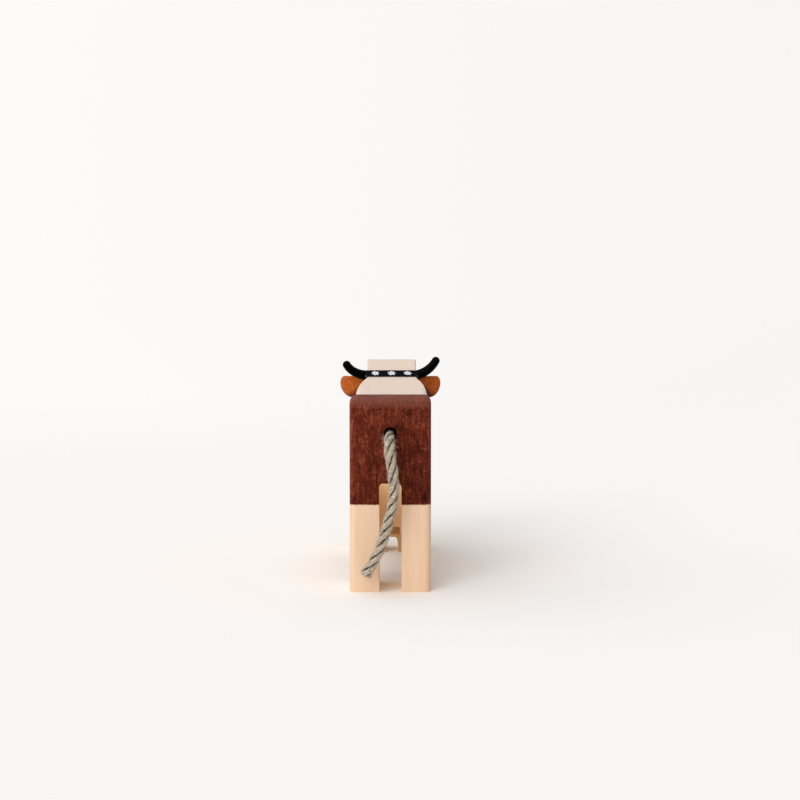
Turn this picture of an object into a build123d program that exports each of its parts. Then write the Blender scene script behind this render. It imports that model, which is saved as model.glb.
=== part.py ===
from build123d import *
from math import acos, cos, pi, radians, sin, sqrt, tan
import os

# A standing wooden cow, sawn from one board and finished with horns, ears, collar, bell and tail.
# Millimetres. X runs across the cow, Y from the rump to the muzzle and Z up from the feet.
# Everything is worked out with the rump's rear face at Y zero, and moved once at the end,
# so that the origin lies on the floor under the middle of the cow.

# Driving dimensions
board_thickness = 30.0
body_length = 119.5
poll_height = 82.0
head_width = 20.8

# The back, head and chest in the sawn outline, as shares of body_length and poll_height
rump_shares = (0.0, 0.8817)
croup_shares = (0.1172, 0.8817)
sway_shares = (0.3096, 0.8146)
withers_shares = (0.5389, 0.8146)
nape_top_shares = (0.7105, 0.944)
poll_back_shares = (0.743, 1.0)
poll_front_shares = (0.793, 1.0)
bridge_shares = (0.902, 0.852)
nose_top_shares = (1.0, 0.745)
nose_bottom_shares = (1.0, 0.658)
chin_shares = (0.95, 0.58)
throat_shares = (0.86, 0.662)
chest_shares = (0.805, 0.4451)

# The legs, belly and udder
belly_height = 27.5
udder_height = 18.2
udder_front = 38.5
udder_slope_length = 4.5
rear_leg_depth = 19.0
udder_back_step = 1.6
front_leg_depth = 15.2

# Roundings of the sawn outline
rump_radius = 4.3
crest_radius = 24.0
sway_radius = 48.0
withers_radius = 20.0
nape_top_radius = 3.4
poll_radius = 2.6
forehead_radius = 4.6
bridge_radius = 40.0
nose_radius = 4.2
muzzle_radius = 5.0
chin_radius = 4.6
throat_radius = 4.0
chest_radius = 30.0
belly_radius = 7.0
flank_radius = 6.0
udder_radius = 4.4

# The board's rounded edges and the planed cheeks
edge_radius = 2.4
cheek_edge_cut = 0.5
rounding_share = 0.45
shoulder_radius = 27.5
shoulder_hollow_radius = 2.0
shoulder_rise = 0.12

# The saw cuts that part the legs, made with a wide round cutter from behind and from the front
cutter_radius = 60.0
rear_slot_width = 8.2
rear_slot_height = 40.3
rear_slot_reach = 22.5
front_slot_width = 5.5
front_slot_height = 31.0
front_slot_heel = 6.6
slot_corner_radius = 1.2
slot_corner_facets = 3

# The ribbon round the neck
ribbon_width = 4.8
ribbon_thickness = 0.5
ribbon_margin = 0.3
ribbon_slack = 3.8
ribbon_throat_radius = 3.6
collar_drop = 6.4
ribbon_hole_play = 0.6
ribbon_hole_inset = 1.4

# The horns
horn_root_radius = 2.0
horn_tip_radius = 1.45
horn_curve_radius = 9.6
horn_sweep_angle = 76.0
horn_peg_radius = 1.3
horn_peg_length = 4.0
horn_to_ribbon = 0.5
horn_below_poll = 6.6
left_horn_turn = 36.0
horn_stations = 6
horn_tip_stations = 3

# The leather ears
ear_radius = 6.0
ear_reach = 22.5
ear_thickness = 1.4
ear_top_cut = 3.4
ear_cup_radius = 15.0
ear_root_height = 3.0
ear_root_depth = 3.6
ear_root_overlap = 2.8
ear_to_horn = 0.35
ear_below_horn = 0.6

# The tail's hole and cord
tail_hole_radius = 2.4
tail_hole_below_rump = 13.6
tail_hole_depth = 4.8
tail_cord_radius = 2.1
tail_cord_drop = 0.2
tail_cord_sides = 8

# The bell and what it hangs on
bell_ring_radius = 2.5
bell_ring_wire = 0.35
bell_height = 10.0
bell_mouth_radius = 5.0
bell_waist_radius = 3.7
bell_crown_radius = 2.6
bell_lip_height = 1.4
bell_crown_round = 1.5
bell_wall = 0.6
bell_side_hollow = 0.15
hanger_eye_radius = 1.25
hanger_wire = 0.3
clapper_eye_radius = 0.85
clapper_wire = 0.25
clapper_ball_radius = 1.35
clapper_stem_length = 4.6
wire_sides = 8
crown_facets = 2
ball_facets = 6

# Clearances and one overrun for every cut
peg_clearance = 0.06
slit_clearance = 0.05
link_clearance = 0.12
overrun = 10.0

half_thickness = board_thickness / 2
half_head = head_width / 2


def place(shares):
    """A point of the outline from its shares of the length and height."""
    return (shares[0] * body_length, shares[1] * poll_height)


def section_point(pair):
    """A point of the cow's middle plane from its distance along Y and its height."""
    return Vector(0, pair[0], pair[1])


# The outline's corners, each with its rounding: up the rump, along the back to the muzzle,
# down the throat and chest, and back along the belly
rump_height = place(rump_shares)[1]
chest_reach = place(chest_shares)[0]
front_legs_back = chest_reach - front_leg_depth
outline = [
    (0, 0, 0),
    (*place(rump_shares), rump_radius),
    (*place(croup_shares), crest_radius),
    (*place(sway_shares), sway_radius),
    (*place(withers_shares), withers_radius),
    (*place(nape_top_shares), nape_top_radius),
    (*place(poll_back_shares), poll_radius),
    (*place(poll_front_shares), forehead_radius),
    (*place(bridge_shares), bridge_radius),
    (*place(nose_top_shares), nose_radius),
    (*place(nose_bottom_shares), muzzle_radius),
    (*place(chin_shares), chin_radius),
    (*place(throat_shares), throat_radius),
    (*place(chest_shares), chest_radius),
    (chest_reach, 0, 0),
    (front_legs_back, 0, 0),
    (front_legs_back, belly_height, belly_radius),
    (udder_front + udder_slope_length, belly_height, flank_radius),
    (udder_front, udder_height, udder_radius),
    (rear_leg_depth + udder_back_step, udder_height, udder_radius),
    (rear_leg_depth, 0, 0),
]


def fitted_radius(before, corner, after, wanted):
    """The wanted rounding of a corner, or less where its arc would take too much of a run."""
    turn = radians((corner - before).get_angle(after - corner))
    room = rounding_share * min((corner - before).length, (after - corner).length)
    return min(wanted, room / tan(turn / 2))


def fitted_radii(corners):
    """The roundings of a closed outline's corners, each limited to its two runs."""
    points = [section_point(corner) for corner in corners]
    return [
        fitted_radius(points[at - 1], point, points[(at + 1) % len(points)], corners[at][2])
        for at, point in enumerate(points)
    ]


# The neck's own directions: along the neck, and from the nape to the throat in the ribbon's plane
nape_top = section_point(place(nape_top_shares))
nape_along = (nape_top - section_point(place(withers_shares))).normalized()
throat = section_point(place(throat_shares))
chest_along = (throat - section_point(place(chest_shares))).normalized()
nape_seat = nape_top - nape_along * (ribbon_width / 2 + ribbon_margin)
throat_seat = throat - chest_along * collar_drop
across_neck = (throat_seat - nape_seat).normalized()
along_neck = Vector(0, -across_neck.Z, across_neck.Y)
neck_plane = Plane(origin=nape_seat, x_dir=along_neck, z_dir=across_neck)


def facet_points(radius, count, first=0, last=90):
    """Points along an arc about the origin, from one angle to another in equal steps."""
    steps = [first + (last - first) * step / count for step in range(count + 1)]
    return [(radius * cos(radians(angle)), radius * sin(radians(angle))) for angle in steps]


def cutter(radius, width, first, second):
    """A round cutter with eased rims whose edge passes through two points of the middle plane."""
    chord = second - first
    middle = first + chord * 0.5
    away = Vector(0, chord.Z, -chord.Y).normalized()
    rise = sqrt(radius**2 - (chord.length / 2) ** 2)
    centre = middle + away * rise
    inner = radius - slot_corner_radius
    side = width / 2 - slot_corner_radius
    rim = [
        (side + x, inner + y)
        for x, y in facet_points(slot_corner_radius, slot_corner_facets)
    ]
    half_section = [(0, 0), (width / 2, 0), *rim, (0, radius)]
    with BuildSketch() as sketch:
        with BuildLine():
            Polyline(half_section, close=True)
        make_face()
    half_disc = revolve(sketch.sketch, axis=Axis.X)
    return Pos(centre.X, centre.Y, centre.Z) * (half_disc + mirror(half_disc, about=Plane.YZ))


def cheek_cut():
    """What planing takes from one side: a round shoulder, a small hollow and the flat cheek."""
    crest = half_thickness + shoulder_rise
    turn = acos(1 - (crest - half_head) / (shoulder_radius + shoulder_hollow_radius))
    middle = crest - shoulder_radius * (1 - cos(turn))
    flat_start = -ribbon_width / 2 - ribbon_margin
    inflection = flat_start - shoulder_hollow_radius * sin(turn)
    start = inflection - shoulder_radius * sin(turn)
    with BuildSketch(neck_plane) as sketch:
        with BuildLine():
            RadiusArc((start, crest), (inflection, middle), shoulder_radius)
            RadiusArc(
                (inflection, middle), (flat_start, half_head), -shoulder_hollow_radius
            )
            Polyline(
                (flat_start, half_head),
                (body_length, half_head),
                (body_length, crest + overrun),
                (start, crest + overrun),
                (start, crest),
            )
        make_face()
    return extrude(sketch.sketch, amount=body_length, both=True)


def sawn_board(half, ease, size):
    """The sawn outline at a half thickness, with its edges rounded or cut above the feet."""
    with BuildSketch(Plane.YZ) as sketch:
        with BuildLine():
            FilletPolyline(
                [(y, z) for y, z, radius in outline],
                radius=fitted_radii(outline),
                close=True,
            )
        make_face()
    board = extrude(sketch.sketch, amount=half, both=True)
    sides = board.faces().sort_by(Axis.X)
    side_edges = [
        edge
        for side in (sides[0], sides[-1])
        for edge in side.edges()
        if edge.center().Z > slot_corner_radius
    ]
    return ease(side_edges, size)


def wooden_body():
    """The cow's one piece of wood: the thick board behind, and the planed head with eased edges."""
    cheek = cheek_cut()
    trunk = sawn_board(half_thickness, fillet, edge_radius)
    trunk = trunk - cheek - mirror(cheek, about=Plane.YZ)
    head = sawn_board(half_head, chamfer, cheek_edge_cut)
    neck_line = Plane(
        origin=nape_seat - along_neck * (ribbon_width + ribbon_margin) / 2,
        z_dir=along_neck,
    )
    body = split(trunk, bisect_by=neck_line, keep=Keep.BOTTOM) + split(
        head, bisect_by=neck_line, keep=Keep.TOP
    )
    body -= cutter(
        cutter_radius,
        rear_slot_width,
        section_point((0, rear_slot_height)),
        section_point((rear_slot_reach, udder_height)),
    )
    body -= cutter(
        cutter_radius,
        front_slot_width,
        section_point((front_legs_back, front_slot_heel)),
        section_point((chest_reach, front_slot_height)),
    )
    return body


def neck_point(along, across):
    """A point of the middle plane from its distances along and across the neck."""
    return nape_seat + along_neck * along + across_neck * across


# Where the horns and ears sit on the cheeks, in front of the ribbon and below the poll
horn_height = poll_height - horn_below_poll
horn_along = ribbon_width / 2 + horn_to_ribbon + horn_root_radius
horn_across = (horn_along * along_neck.Z + nape_seat.Z - horn_height) / -across_neck.Z
horn_place = neck_point(horn_along, horn_across)
ear_back = horn_place.Y + horn_root_radius + ear_to_horn
ear_middle = horn_height - ear_top_cut - ear_below_horn


def horn(turn_angle):
    """A right horn: a peg in the cheek and a round tapering arc with a rounded tip."""
    root = Vector(half_head, horn_place.Y, horn_place.Z)
    rings = []

    def add_ring(angle, radius, beyond):
        """A ring of the horn at an angle of its arc, or beyond the end of it."""
        along = Vector(cos(radians(angle)), 0, sin(radians(angle)))
        centre = Vector(along.Z, 0, 1 - along.X) * horn_curve_radius + along * beyond
        rings.append(Plane(origin=centre, x_dir=(0, 1, 0), z_dir=along) * Circle(radius))

    for station in range(horn_stations):
        share = station / (horn_stations - 1)
        radius = horn_root_radius + (horn_tip_radius - horn_root_radius) * share
        add_ring(horn_sweep_angle * share, radius, 0)
    for radius, beyond in facet_points(horn_tip_radius, horn_tip_stations + 1)[1:-1]:
        add_ring(horn_sweep_angle, radius, beyond)
    peg = Cylinder(
        horn_peg_radius,
        horn_peg_length,
        rotation=(0, 90, 0),
        align=(Align.CENTER, Align.CENTER, Align.MAX),
    )
    shape = Rot(turn_angle, 0, 0) * (loft(rings, ruled=True) + peg)
    return Pos(*root) * shape


def horn_socket():
    """The drilled hole that a right horn's peg is glued into."""
    root = Pos(half_head + overrun, horn_place.Y, horn_place.Z)
    return root * Cylinder(
        horn_peg_radius + peg_clearance,
        horn_peg_length + overrun,
        rotation=(0, 90, 0),
        align=(Align.CENTER, Align.CENTER, Align.MAX),
    )


def ear_root(spare):
    """The straight end of a right ear inside the cheek, with spare room all round."""
    outer = ear_reach - ear_radius * 2 + ear_root_overlap
    length = outer - half_head + ear_root_depth
    top = ear_middle + ear_top_cut
    block = Box(length, ear_thickness + 2 * spare, ear_root_height + 2 * spare)
    middle = Pos(outer - length / 2, ear_back + ear_thickness / 2, top - ear_root_height / 2)
    return middle * block


def ear():
    """A right ear: a round leather flap, cut straight along its top and cupped forwards."""
    middle = ear_reach - ear_radius
    top = ear_middle + ear_top_cut
    with BuildSketch(Plane.XZ) as flap:
        with Locations((middle, ear_middle)):
            Circle(ear_radius)
        with Locations((middle, top)):
            Rectangle(
                ear_radius * 2,
                ear_radius * 2,
                align=(Align.CENTER, Align.MIN),
                mode=Mode.SUBTRACT,
            )
    reach = ear_back + ear_cup_radius * 2
    prism = extrude(flap.sketch, amount=-reach)
    shell_middle = (half_head, ear_back + ear_cup_radius)
    shell = Cylinder(ear_cup_radius, poll_height) - Cylinder(
        ear_cup_radius - ear_thickness, poll_height
    )
    front_half = Pos(0, ear_cup_radius, 0) * Box(
        ear_cup_radius * 4, ear_cup_radius * 2, poll_height
    )
    shell = Pos(*shell_middle, ear_middle) * (shell - front_half)
    return (prism & shell) + ear_root(0)


nape_out = Vector(0, -nape_along.Z, nape_along.Y)
throat_out = Vector(0, chest_along.Z, -chest_along.Y)


def ribbon_point(seat, direction, outward, offset, along):
    """Where a line beside the nape or chest crosses a plane square to the neck."""
    start = seat + outward * offset
    step = (along - (start - nape_seat).dot(along_neck)) / direction.dot(along_neck)
    return start + direction * step


def collar_ribbon():
    """The ribbon: a flat band tight over the nape and cheeks that hangs a little off the throat."""

    def edges_along_neck(block, half):
        """A block's edges along the neck, from the nape's side to the throat's."""
        long_edges = [
            edge
            for edge in block.edges()
            if abs((edge @ 0 - edge @ 1).normalized().dot(along_neck)) > cos(pi / 4)
            and abs(edge.center().X) > half / 2
        ]
        return ShapeList(long_edges).sort_by(Axis(nape_seat, across_neck))

    def band(nape_offset, throat_offset, half, along, nape_ease, nape_size, throat_radius):
        """A block that fills the collar's outline, with its corners round the neck eased."""
        corners = [
            ribbon_point(nape_seat, nape_along, nape_out, nape_offset, -along),
            ribbon_point(nape_seat, nape_along, nape_out, nape_offset, along),
            ribbon_point(throat_seat, chest_along, throat_out, throat_offset, along),
            ribbon_point(throat_seat, chest_along, throat_out, throat_offset, -along),
        ]
        with BuildSketch(Plane.YZ) as sketch:
            with BuildLine():
                Polyline([(p.Y, p.Z) for p in corners], close=True)
            make_face()
        block = extrude(sketch.sketch, amount=half, both=True)
        block = nape_ease(edges_along_neck(block, half)[:2], nape_size)
        return fillet(edges_along_neck(block, half)[-2:], throat_radius)

    outer = band(
        ribbon_thickness,
        ribbon_slack + ribbon_thickness,
        half_head + ribbon_thickness,
        ribbon_width / 2,
        fillet,
        cheek_edge_cut + ribbon_thickness,
        ribbon_throat_radius,
    )
    inner = band(
        0,
        ribbon_slack,
        half_head,
        ribbon_width,
        chamfer,
        cheek_edge_cut,
        ribbon_throat_radius - ribbon_thickness,
    )
    slant = radians(throat_out.get_angle(Vector(0, 1, 0)))
    hole = Cylinder(
        (bell_ring_wire + ribbon_hole_play) / cos(slant) + ribbon_thickness / 2 * tan(slant),
        overrun,
    )
    return outer - inner - Plane(origin=ribbon_hole, z_dir=throat_out) * hole


# The bell hangs straight down from the ribbon's hole, in front of the chest
ribbon_hole = ribbon_point(
    throat_seat,
    chest_along,
    throat_out,
    ribbon_slack + ribbon_thickness / 2,
    ribbon_hole_inset - ribbon_width / 2,
)
ring_middle = ribbon_hole - Vector(0, 0, bell_ring_radius)
bell_pivot = ring_middle - Vector(0, 0, bell_ring_radius)
hanger_drop = hanger_eye_radius - hanger_wire - bell_ring_wire - link_clearance
upper_eye = bell_pivot - Vector(0, 0, hanger_drop)
bell_top = upper_eye - Vector(0, 0, hanger_eye_radius + hanger_wire + link_clearance)
lower_eye = bell_top - Vector(
    0, 0, bell_wall + hanger_eye_radius + hanger_wire + link_clearance
)
clapper_pivot = lower_eye - Vector(0, 0, hanger_eye_radius)
clapper_drop = clapper_eye_radius - clapper_wire - hanger_wire - link_clearance
clapper_eye = clapper_pivot - Vector(0, 0, clapper_drop)
clapper_ball = clapper_eye - Vector(0, 0, clapper_eye_radius + clapper_stem_length)


def wire_eye(radius, wire):
    """A ring of wire about X, whose section has a few flats round it."""
    section = Plane.XY * Pos(0, radius) * RegularPolygon(wire, wire_sides)
    return revolve(section, axis=Axis.X)


def bell_ring():
    """The wire ring that goes through the ribbon's hole and round its lower edge."""
    return Pos(*ring_middle) * wire_eye(bell_ring_radius, bell_ring_wire)


def bell_cup():
    """The bell's turned shell: a round crown, a waisted side and a flared lip."""

    def half_outline(inset):
        """Half of the bell's section, drawn inside its outer surface by the inset."""
        crown = bell_crown_radius - inset
        shoulder = crown - bell_crown_round
        waist = (bell_waist_radius - inset, bell_lip_height - bell_height)
        half_way = (
            (crown + waist[0]) / 2 - bell_side_hollow,
            (waist[1] - inset - bell_crown_round) / 2,
        )
        rounded = [
            (shoulder + x, z - inset - bell_crown_round)
            for x, z in facet_points(bell_crown_round, crown_facets)
        ]
        corners = [(0, -inset), *reversed(rounded), half_way, waist]
        corners += [(bell_mouth_radius - inset, -bell_height), (0, -bell_height)]
        with BuildSketch(Plane.XZ) as sketch:
            with BuildLine():
                Polyline(corners, close=True)
            make_face()
        return sketch.sketch

    outside = revolve(half_outline(0), axis=Axis.Z)
    inside = revolve(half_outline(bell_wall), axis=Axis.Z)
    hole = Cylinder(hanger_wire + peg_clearance, overrun)
    return Pos(*bell_top) * (outside - inside - hole)


def bell_hanger():
    """The bell's wire: an eye above the crown, a shank through it and an eye inside."""
    eye = Rot(0, 0, 90) * wire_eye(hanger_eye_radius, hanger_wire)
    shank_top = upper_eye.Z - hanger_eye_radius
    shank_bottom = lower_eye.Z + hanger_eye_radius
    shank = Cylinder(hanger_wire, shank_top - shank_bottom)
    middle = Pos(0, upper_eye.Y, (shank_top + shank_bottom) / 2)
    return Pos(*upper_eye) * eye + Pos(*lower_eye) * eye + middle * shank


def bell_clapper():
    """The clapper: an eye on the bell's wire, a stem and a ball."""
    eye = wire_eye(clapper_eye_radius, clapper_wire)
    stem = Cylinder(
        clapper_wire,
        clapper_stem_length,
        align=(Align.CENTER, Align.CENTER, Align.MAX),
    )
    stem_top = clapper_eye - Vector(0, 0, clapper_eye_radius)
    with BuildSketch(Plane.XZ) as half_ball:
        with BuildLine():
            Polyline(facet_points(clapper_ball_radius, ball_facets, -90, 90), close=True)
        make_face()
    ball = revolve(half_ball.sketch, axis=Axis.Z)
    return Pos(*clapper_eye) * eye + Pos(*stem_top) * stem + Pos(*clapper_ball) * ball


tail_hole_height = rump_height - tail_hole_below_rump

# The tail cord's route, from the bottom of its hole to its cut end
tail_route = [
    (0, tail_hole_depth, tail_hole_height - tail_cord_drop),
    (0, -3.4, tail_hole_height - tail_cord_drop),
    (0.2, -7.4, 52.2),
    (1.3, -7.9, 44.4),
    (1.4, -7.2, 36.6),
    (-0.6, -6.6, 28.9),
    (-2.4, -6.4, 21.2),
    (-5.0, -6.8, 14.0),
    (-9.2, -7.6, 8.0),
]


def tail_cord():
    """The tail: a limp cord that comes out of its hole and hangs down the rump."""
    points = [Vector(*point) for point in tail_route]
    radii = [
        fitted_radius(before, corner, after, body_length)
        for before, corner, after in zip(points, points[1:], points[2:])
    ]
    print("tail cord radii", [round(radius, 2) for radius in radii])
    path = FilletPolyline(*points, radius=radii)
    section = RegularPolygon(tail_cord_radius, tail_cord_sides)
    tube = sweep(Plane(origin=points[0], z_dir=points[1] - points[0]) * section, path=path)
    share = tube.volume / (section.area * path.length)
    print("tail cord length", round(path.length, 2), "volume share", round(share, 4))
    return tube


def mirrored(shape):
    """The same piece on the other side of the cow."""
    return mirror(shape, about=Plane.YZ)


def drilled_body():
    """The wooden body with its tail hole, horn sockets and ear slits."""
    body = wooden_body()
    tail_hole = Cylinder(
        tail_hole_radius,
        tail_hole_depth + overrun,
        rotation=(90, 0, 0),
        align=(Align.CENTER, Align.CENTER, Align.MIN),
    )
    body -= Pos(0, tail_hole_depth, tail_hole_height) * tail_hole
    for cut in (horn_socket(), ear_root(slit_clearance)):
        body = body - cut - mirrored(cut)
    return body


def place_all(parts):
    """Moves every piece so that the origin lies under the middle of the cow, and writes it."""
    os.makedirs("parts", exist_ok=True)
    for name, shape in parts.items():
        export_step(Pos(0, -body_length / 2, 0) * shape, f"parts/{name}.step")


place_all(
    {
        "wooden_body": drilled_body(),
        "left_horn": mirrored(horn(left_horn_turn)),
        "right_horn": horn(0),
        "left_ear": mirrored(ear()),
        "right_ear": ear(),
        "collar_ribbon": collar_ribbon(),
        "bell_ring": bell_ring(),
        "bell_cup": bell_cup(),
        "bell_hanger": bell_hanger(),
        "bell_clapper": bell_clapper(),
        "tail_cord": tail_cord(),
    }
)
for name, point in {
    "ribbon_hole": ribbon_hole,
    "bell_pivot": bell_pivot,
    "clapper_pivot": clapper_pivot,
    "bell_top": bell_top,
    "horn_place": horn_place,
    "nape_seat": nape_seat,
    "throat_seat": throat_seat,
}.items():
    print(name, round(point.Y - body_length / 2, 3), round(point.Z, 3))
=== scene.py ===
"""A wooden toy cow with horns, leather ears, a ribbon collar with a bell, and a cord tail."""

import logging
import random
from dataclasses import dataclass
from enum import Enum
from math import cos, pi, radians, sin, sqrt

import bpy
from mathutils import Matrix, Vector, noise

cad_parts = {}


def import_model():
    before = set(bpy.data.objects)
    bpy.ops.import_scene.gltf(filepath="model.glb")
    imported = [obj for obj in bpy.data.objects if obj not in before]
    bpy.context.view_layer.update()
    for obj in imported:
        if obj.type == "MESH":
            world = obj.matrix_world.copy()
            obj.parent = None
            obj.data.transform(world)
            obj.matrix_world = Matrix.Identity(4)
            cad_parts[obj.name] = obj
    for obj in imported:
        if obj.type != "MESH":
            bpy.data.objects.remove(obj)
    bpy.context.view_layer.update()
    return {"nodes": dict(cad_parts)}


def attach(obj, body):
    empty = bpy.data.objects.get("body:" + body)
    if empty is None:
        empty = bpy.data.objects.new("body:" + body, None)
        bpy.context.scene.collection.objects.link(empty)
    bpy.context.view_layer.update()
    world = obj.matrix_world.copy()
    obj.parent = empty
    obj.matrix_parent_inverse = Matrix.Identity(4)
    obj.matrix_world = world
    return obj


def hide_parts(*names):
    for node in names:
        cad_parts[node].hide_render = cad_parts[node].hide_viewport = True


log = logging.getLogger("cow")

# Below, lengths are millimetres and angles are degrees, and meshes are made in metres
MM = 0.001
FULL_TURN = 2 * pi
QUARTER_TURN = pi / 2

# The sRGB curve, which is straight near black and a power above that
HEX_TOP = 255
STRAIGHT_END = 0.04045
STRAIGHT_SLOPE = 12.92
CURVE_LIFT = 0.055
CURVE_POWER = 2.4

# Where a noise pattern mostly stays
NOISE_RANGE = {"From Min": 0.3, "From Max": 0.7}

# A mix node's colour sockets have the names of its plain ones, so they go by number
UNDER = 6
OVER = 7
TINTED = {"output": 2, "data_type": "RGBA"}

Colour = tuple[float, float, float, float]
Pair = tuple[float, float]
Spot = tuple[float, float, float]
Line = list[Vector]
Faces = list[tuple[int, ...]]
Mesh = tuple[Line, Faces]
Piece = bpy.types.Object
Tree = bpy.types.NodeTree
Socket = bpy.types.NodeSocket
Axes = tuple[Socket, Socket, Socket]


class Body(Enum):
    """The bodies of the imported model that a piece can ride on."""

    COW = "cow"
    RING = "ring"
    BELL = "bell"
    CLAPPER = "clapper"


class Slot(Enum):
    """Names of the material slots."""

    HORN = "horn_black"
    EAR = "ear_leather"
    RIBBON = "woven_ribbon"
    WIRE = "wire_brass"
    BELL = "bell_brass"
    HEMP = "hemp_cord"
    WOOD = "cow_wood"


def linear(hex_code: str) -> Colour:
    """Turns an sRGB hex colour into the linear values that a shader takes.

    Args:
        hex_code: The colour as #RRGGBB.

    Returns:
        Red, green, blue and an alpha of one.
    """
    parts = [level / HEX_TOP for level in bytes.fromhex(hex_code[1:])]
    toned = [
        part / STRAIGHT_SLOPE
        if part <= STRAIGHT_END
        else ((part + CURVE_LIFT) / (1 + CURVE_LIFT)) ** CURVE_POWER
        for part in parts
    ]
    return (*toned, 1.0)


def add_node(
    tree: Tree, kind: str, inputs: dict | tuple = (), output: int | str = 0, **settings: object
) -> Socket | None:
    """Adds a node with its settings, values and links.

    Args:
        tree: The node tree that gets the node.
        kind: The node's type name, without the ShaderNode that they all start with.
        inputs: Values, or the sockets that feed them, in order or by socket name or number.
        output: The output socket that is wanted back.
        settings: The node's own properties.

    Returns:
        The wanted output socket, or None for a node that has none.
    """
    node = tree.nodes.new(f"ShaderNode{kind}")
    for name, value in settings.items():
        setattr(node, name, value)
    for name, value in inputs.items() if isinstance(inputs, dict) else enumerate(inputs):
        if isinstance(value, Socket):
            tree.links.new(value, node.inputs[name])
        else:
            node.inputs[name].default_value = value
    return node.outputs[output] if node.outputs else None


def millimetres(tree: Tree) -> Socket:
    """The surface point in the cow's own frame, in millimetres."""
    point = add_node(tree, "TexCoord", output="Object")
    return add_node(tree, "VectorMath", {0: point, "Scale": 1 / MM}, operation="SCALE")


def make_piece(
    name: str,
    points: Line,
    faces: Faces,
    material: bpy.types.Material,
    uvs: list[Pair] | None = None,
) -> Piece:
    """Makes a smooth-shaded mesh object from points in metres.

    Args:
        name: The piece's name.
        points: Its vertices, in the cow's frame.
        faces: Its faces as vertex numbers.
        material: Its finish.
        uvs: One texture place for each face corner, in millimetres.

    Returns:
        The linked object.
    """
    mesh = bpy.data.meshes.new(name)
    mesh.from_pydata(points, [], faces)
    if uvs:
        layer = mesh.uv_layers.new(name="lay")
        for corner, place in zip(layer.data, uvs):
            corner.uv = place
    mesh.shade_smooth()
    mesh.materials.append(material)
    piece = bpy.data.objects.new(name, mesh)
    bpy.context.scene.collection.objects.link(piece)
    return piece


def hang_on(piece: Piece, body: Body, slot: Slot, *nodes: str) -> Piece:
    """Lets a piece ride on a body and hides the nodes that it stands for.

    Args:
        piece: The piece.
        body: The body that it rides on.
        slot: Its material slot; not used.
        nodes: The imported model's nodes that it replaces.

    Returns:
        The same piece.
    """
    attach(piece, body.value)
    if nodes:
        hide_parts(*nodes)
    return piece


def carried_frames(points: Line, closed: bool = False) -> list[tuple[Vector, Vector]]:
    """Two directions square to a line at each of its points, carried along without twist.

    Args:
        points: The line's points.
        closed: Whether the last point is followed by the first.

    Returns:
        A pair of unit vectors for each point.
    """
    frames = []
    across = None
    count = len(points)
    for at in range(count):
        before = points[at - 1] if closed or at else points[0]
        after = points[(at + 1) % count] if closed or at < count - 1 else points[-1]
        along = (after - before).normalized()
        if across is None:
            across = along.orthogonal().normalized()
        across = (across - along * across.dot(along)).normalized()
        frames.append((across, along.cross(across)))
    return frames


def wrapped(rings: int, sides: int, order: int = 1, closed: bool = False) -> Faces:
    """The faces between rings of points that follow each other.

    Args:
        rings: How many rings there are.
        sides: How many points each ring has.
        order: 1, or -1 for faces that look the other way.
        closed: Whether the last ring is followed by the first.

    Returns:
        The faces as vertex numbers.
    """
    faces = []
    for ring in range(rings if closed else rings - 1):
        low, high = ring * sides, (ring + 1) % rings * sides
        for side in range(sides):
            beside = (side + 1) % sides
            faces.append((low + side, low + beside, high + beside, high + side)[::order])
    return faces


def ends(rings: int, sides: int, order: int = 1) -> Faces:
    """The two flat faces that close rings of points at their ends.

    Args:
        rings: How many rings there are.
        sides: How many points each ring has.
        order: 1, or -1 for faces that look the other way.

    Returns:
        The first ring's face and the last ring's face.
    """
    last = (rings - 1) * sides
    return [tuple(range(sides))[::-order], tuple(range(last, last + sides))[::order]]


def tube(points: Line, radii: list[float], sides: int, closed: bool = False) -> Mesh:
    """A round tube along a line, with flat caps unless it closes on itself.

    Args:
        points: The line's points, in metres.
        radii: The tube's radius at each point, in metres.
        sides: How many points go round it.
        closed: Whether the tube is a ring.

    Returns:
        Its vertices and faces.
    """
    rim = []
    for point, radius, (right, up) in zip(points, radii, carried_frames(points, closed)):
        for side in range(sides):
            turn = FULL_TURN * side / sides
            rim.append(point + (right * cos(turn) + up * sin(turn)) * radius)
    faces = wrapped(len(points), sides, closed=closed)
    if not closed:
        faces += ends(len(points), sides)
    return rim, faces


def joined(parts: list[Mesh]) -> Mesh:
    """Puts several meshes' vertices and faces into one list each.

    Args:
        parts: The meshes.

    Returns:
        The vertices and faces of all of them.
    """
    points: Line = []
    faces: Faces = []
    for part_points, part_faces in parts:
        first = len(points)
        points += part_points
        faces += [tuple(first + number for number in face) for face in part_faces]
    return points, faces


def revolved(profile: list[Pair], sides: int, middle: Vector) -> Mesh:
    """A turned form: a profile of radius and height, spun about an upright line.

    Args:
        profile: Radius and height pairs in millimetres, from one end to the other.
        sides: How many points go round it.
        middle: The point that the heights start from, in metres.

    Returns:
        Its vertices and faces.
    """
    points = []
    for radius, height in profile:
        for side in range(sides):
            turn = FULL_TURN * side / sides
            spot = Vector((cos(turn) * radius, sin(turn) * radius, height))
            points.append(middle + spot * MM)
    return points, wrapped(len(profile), sides)


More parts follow.
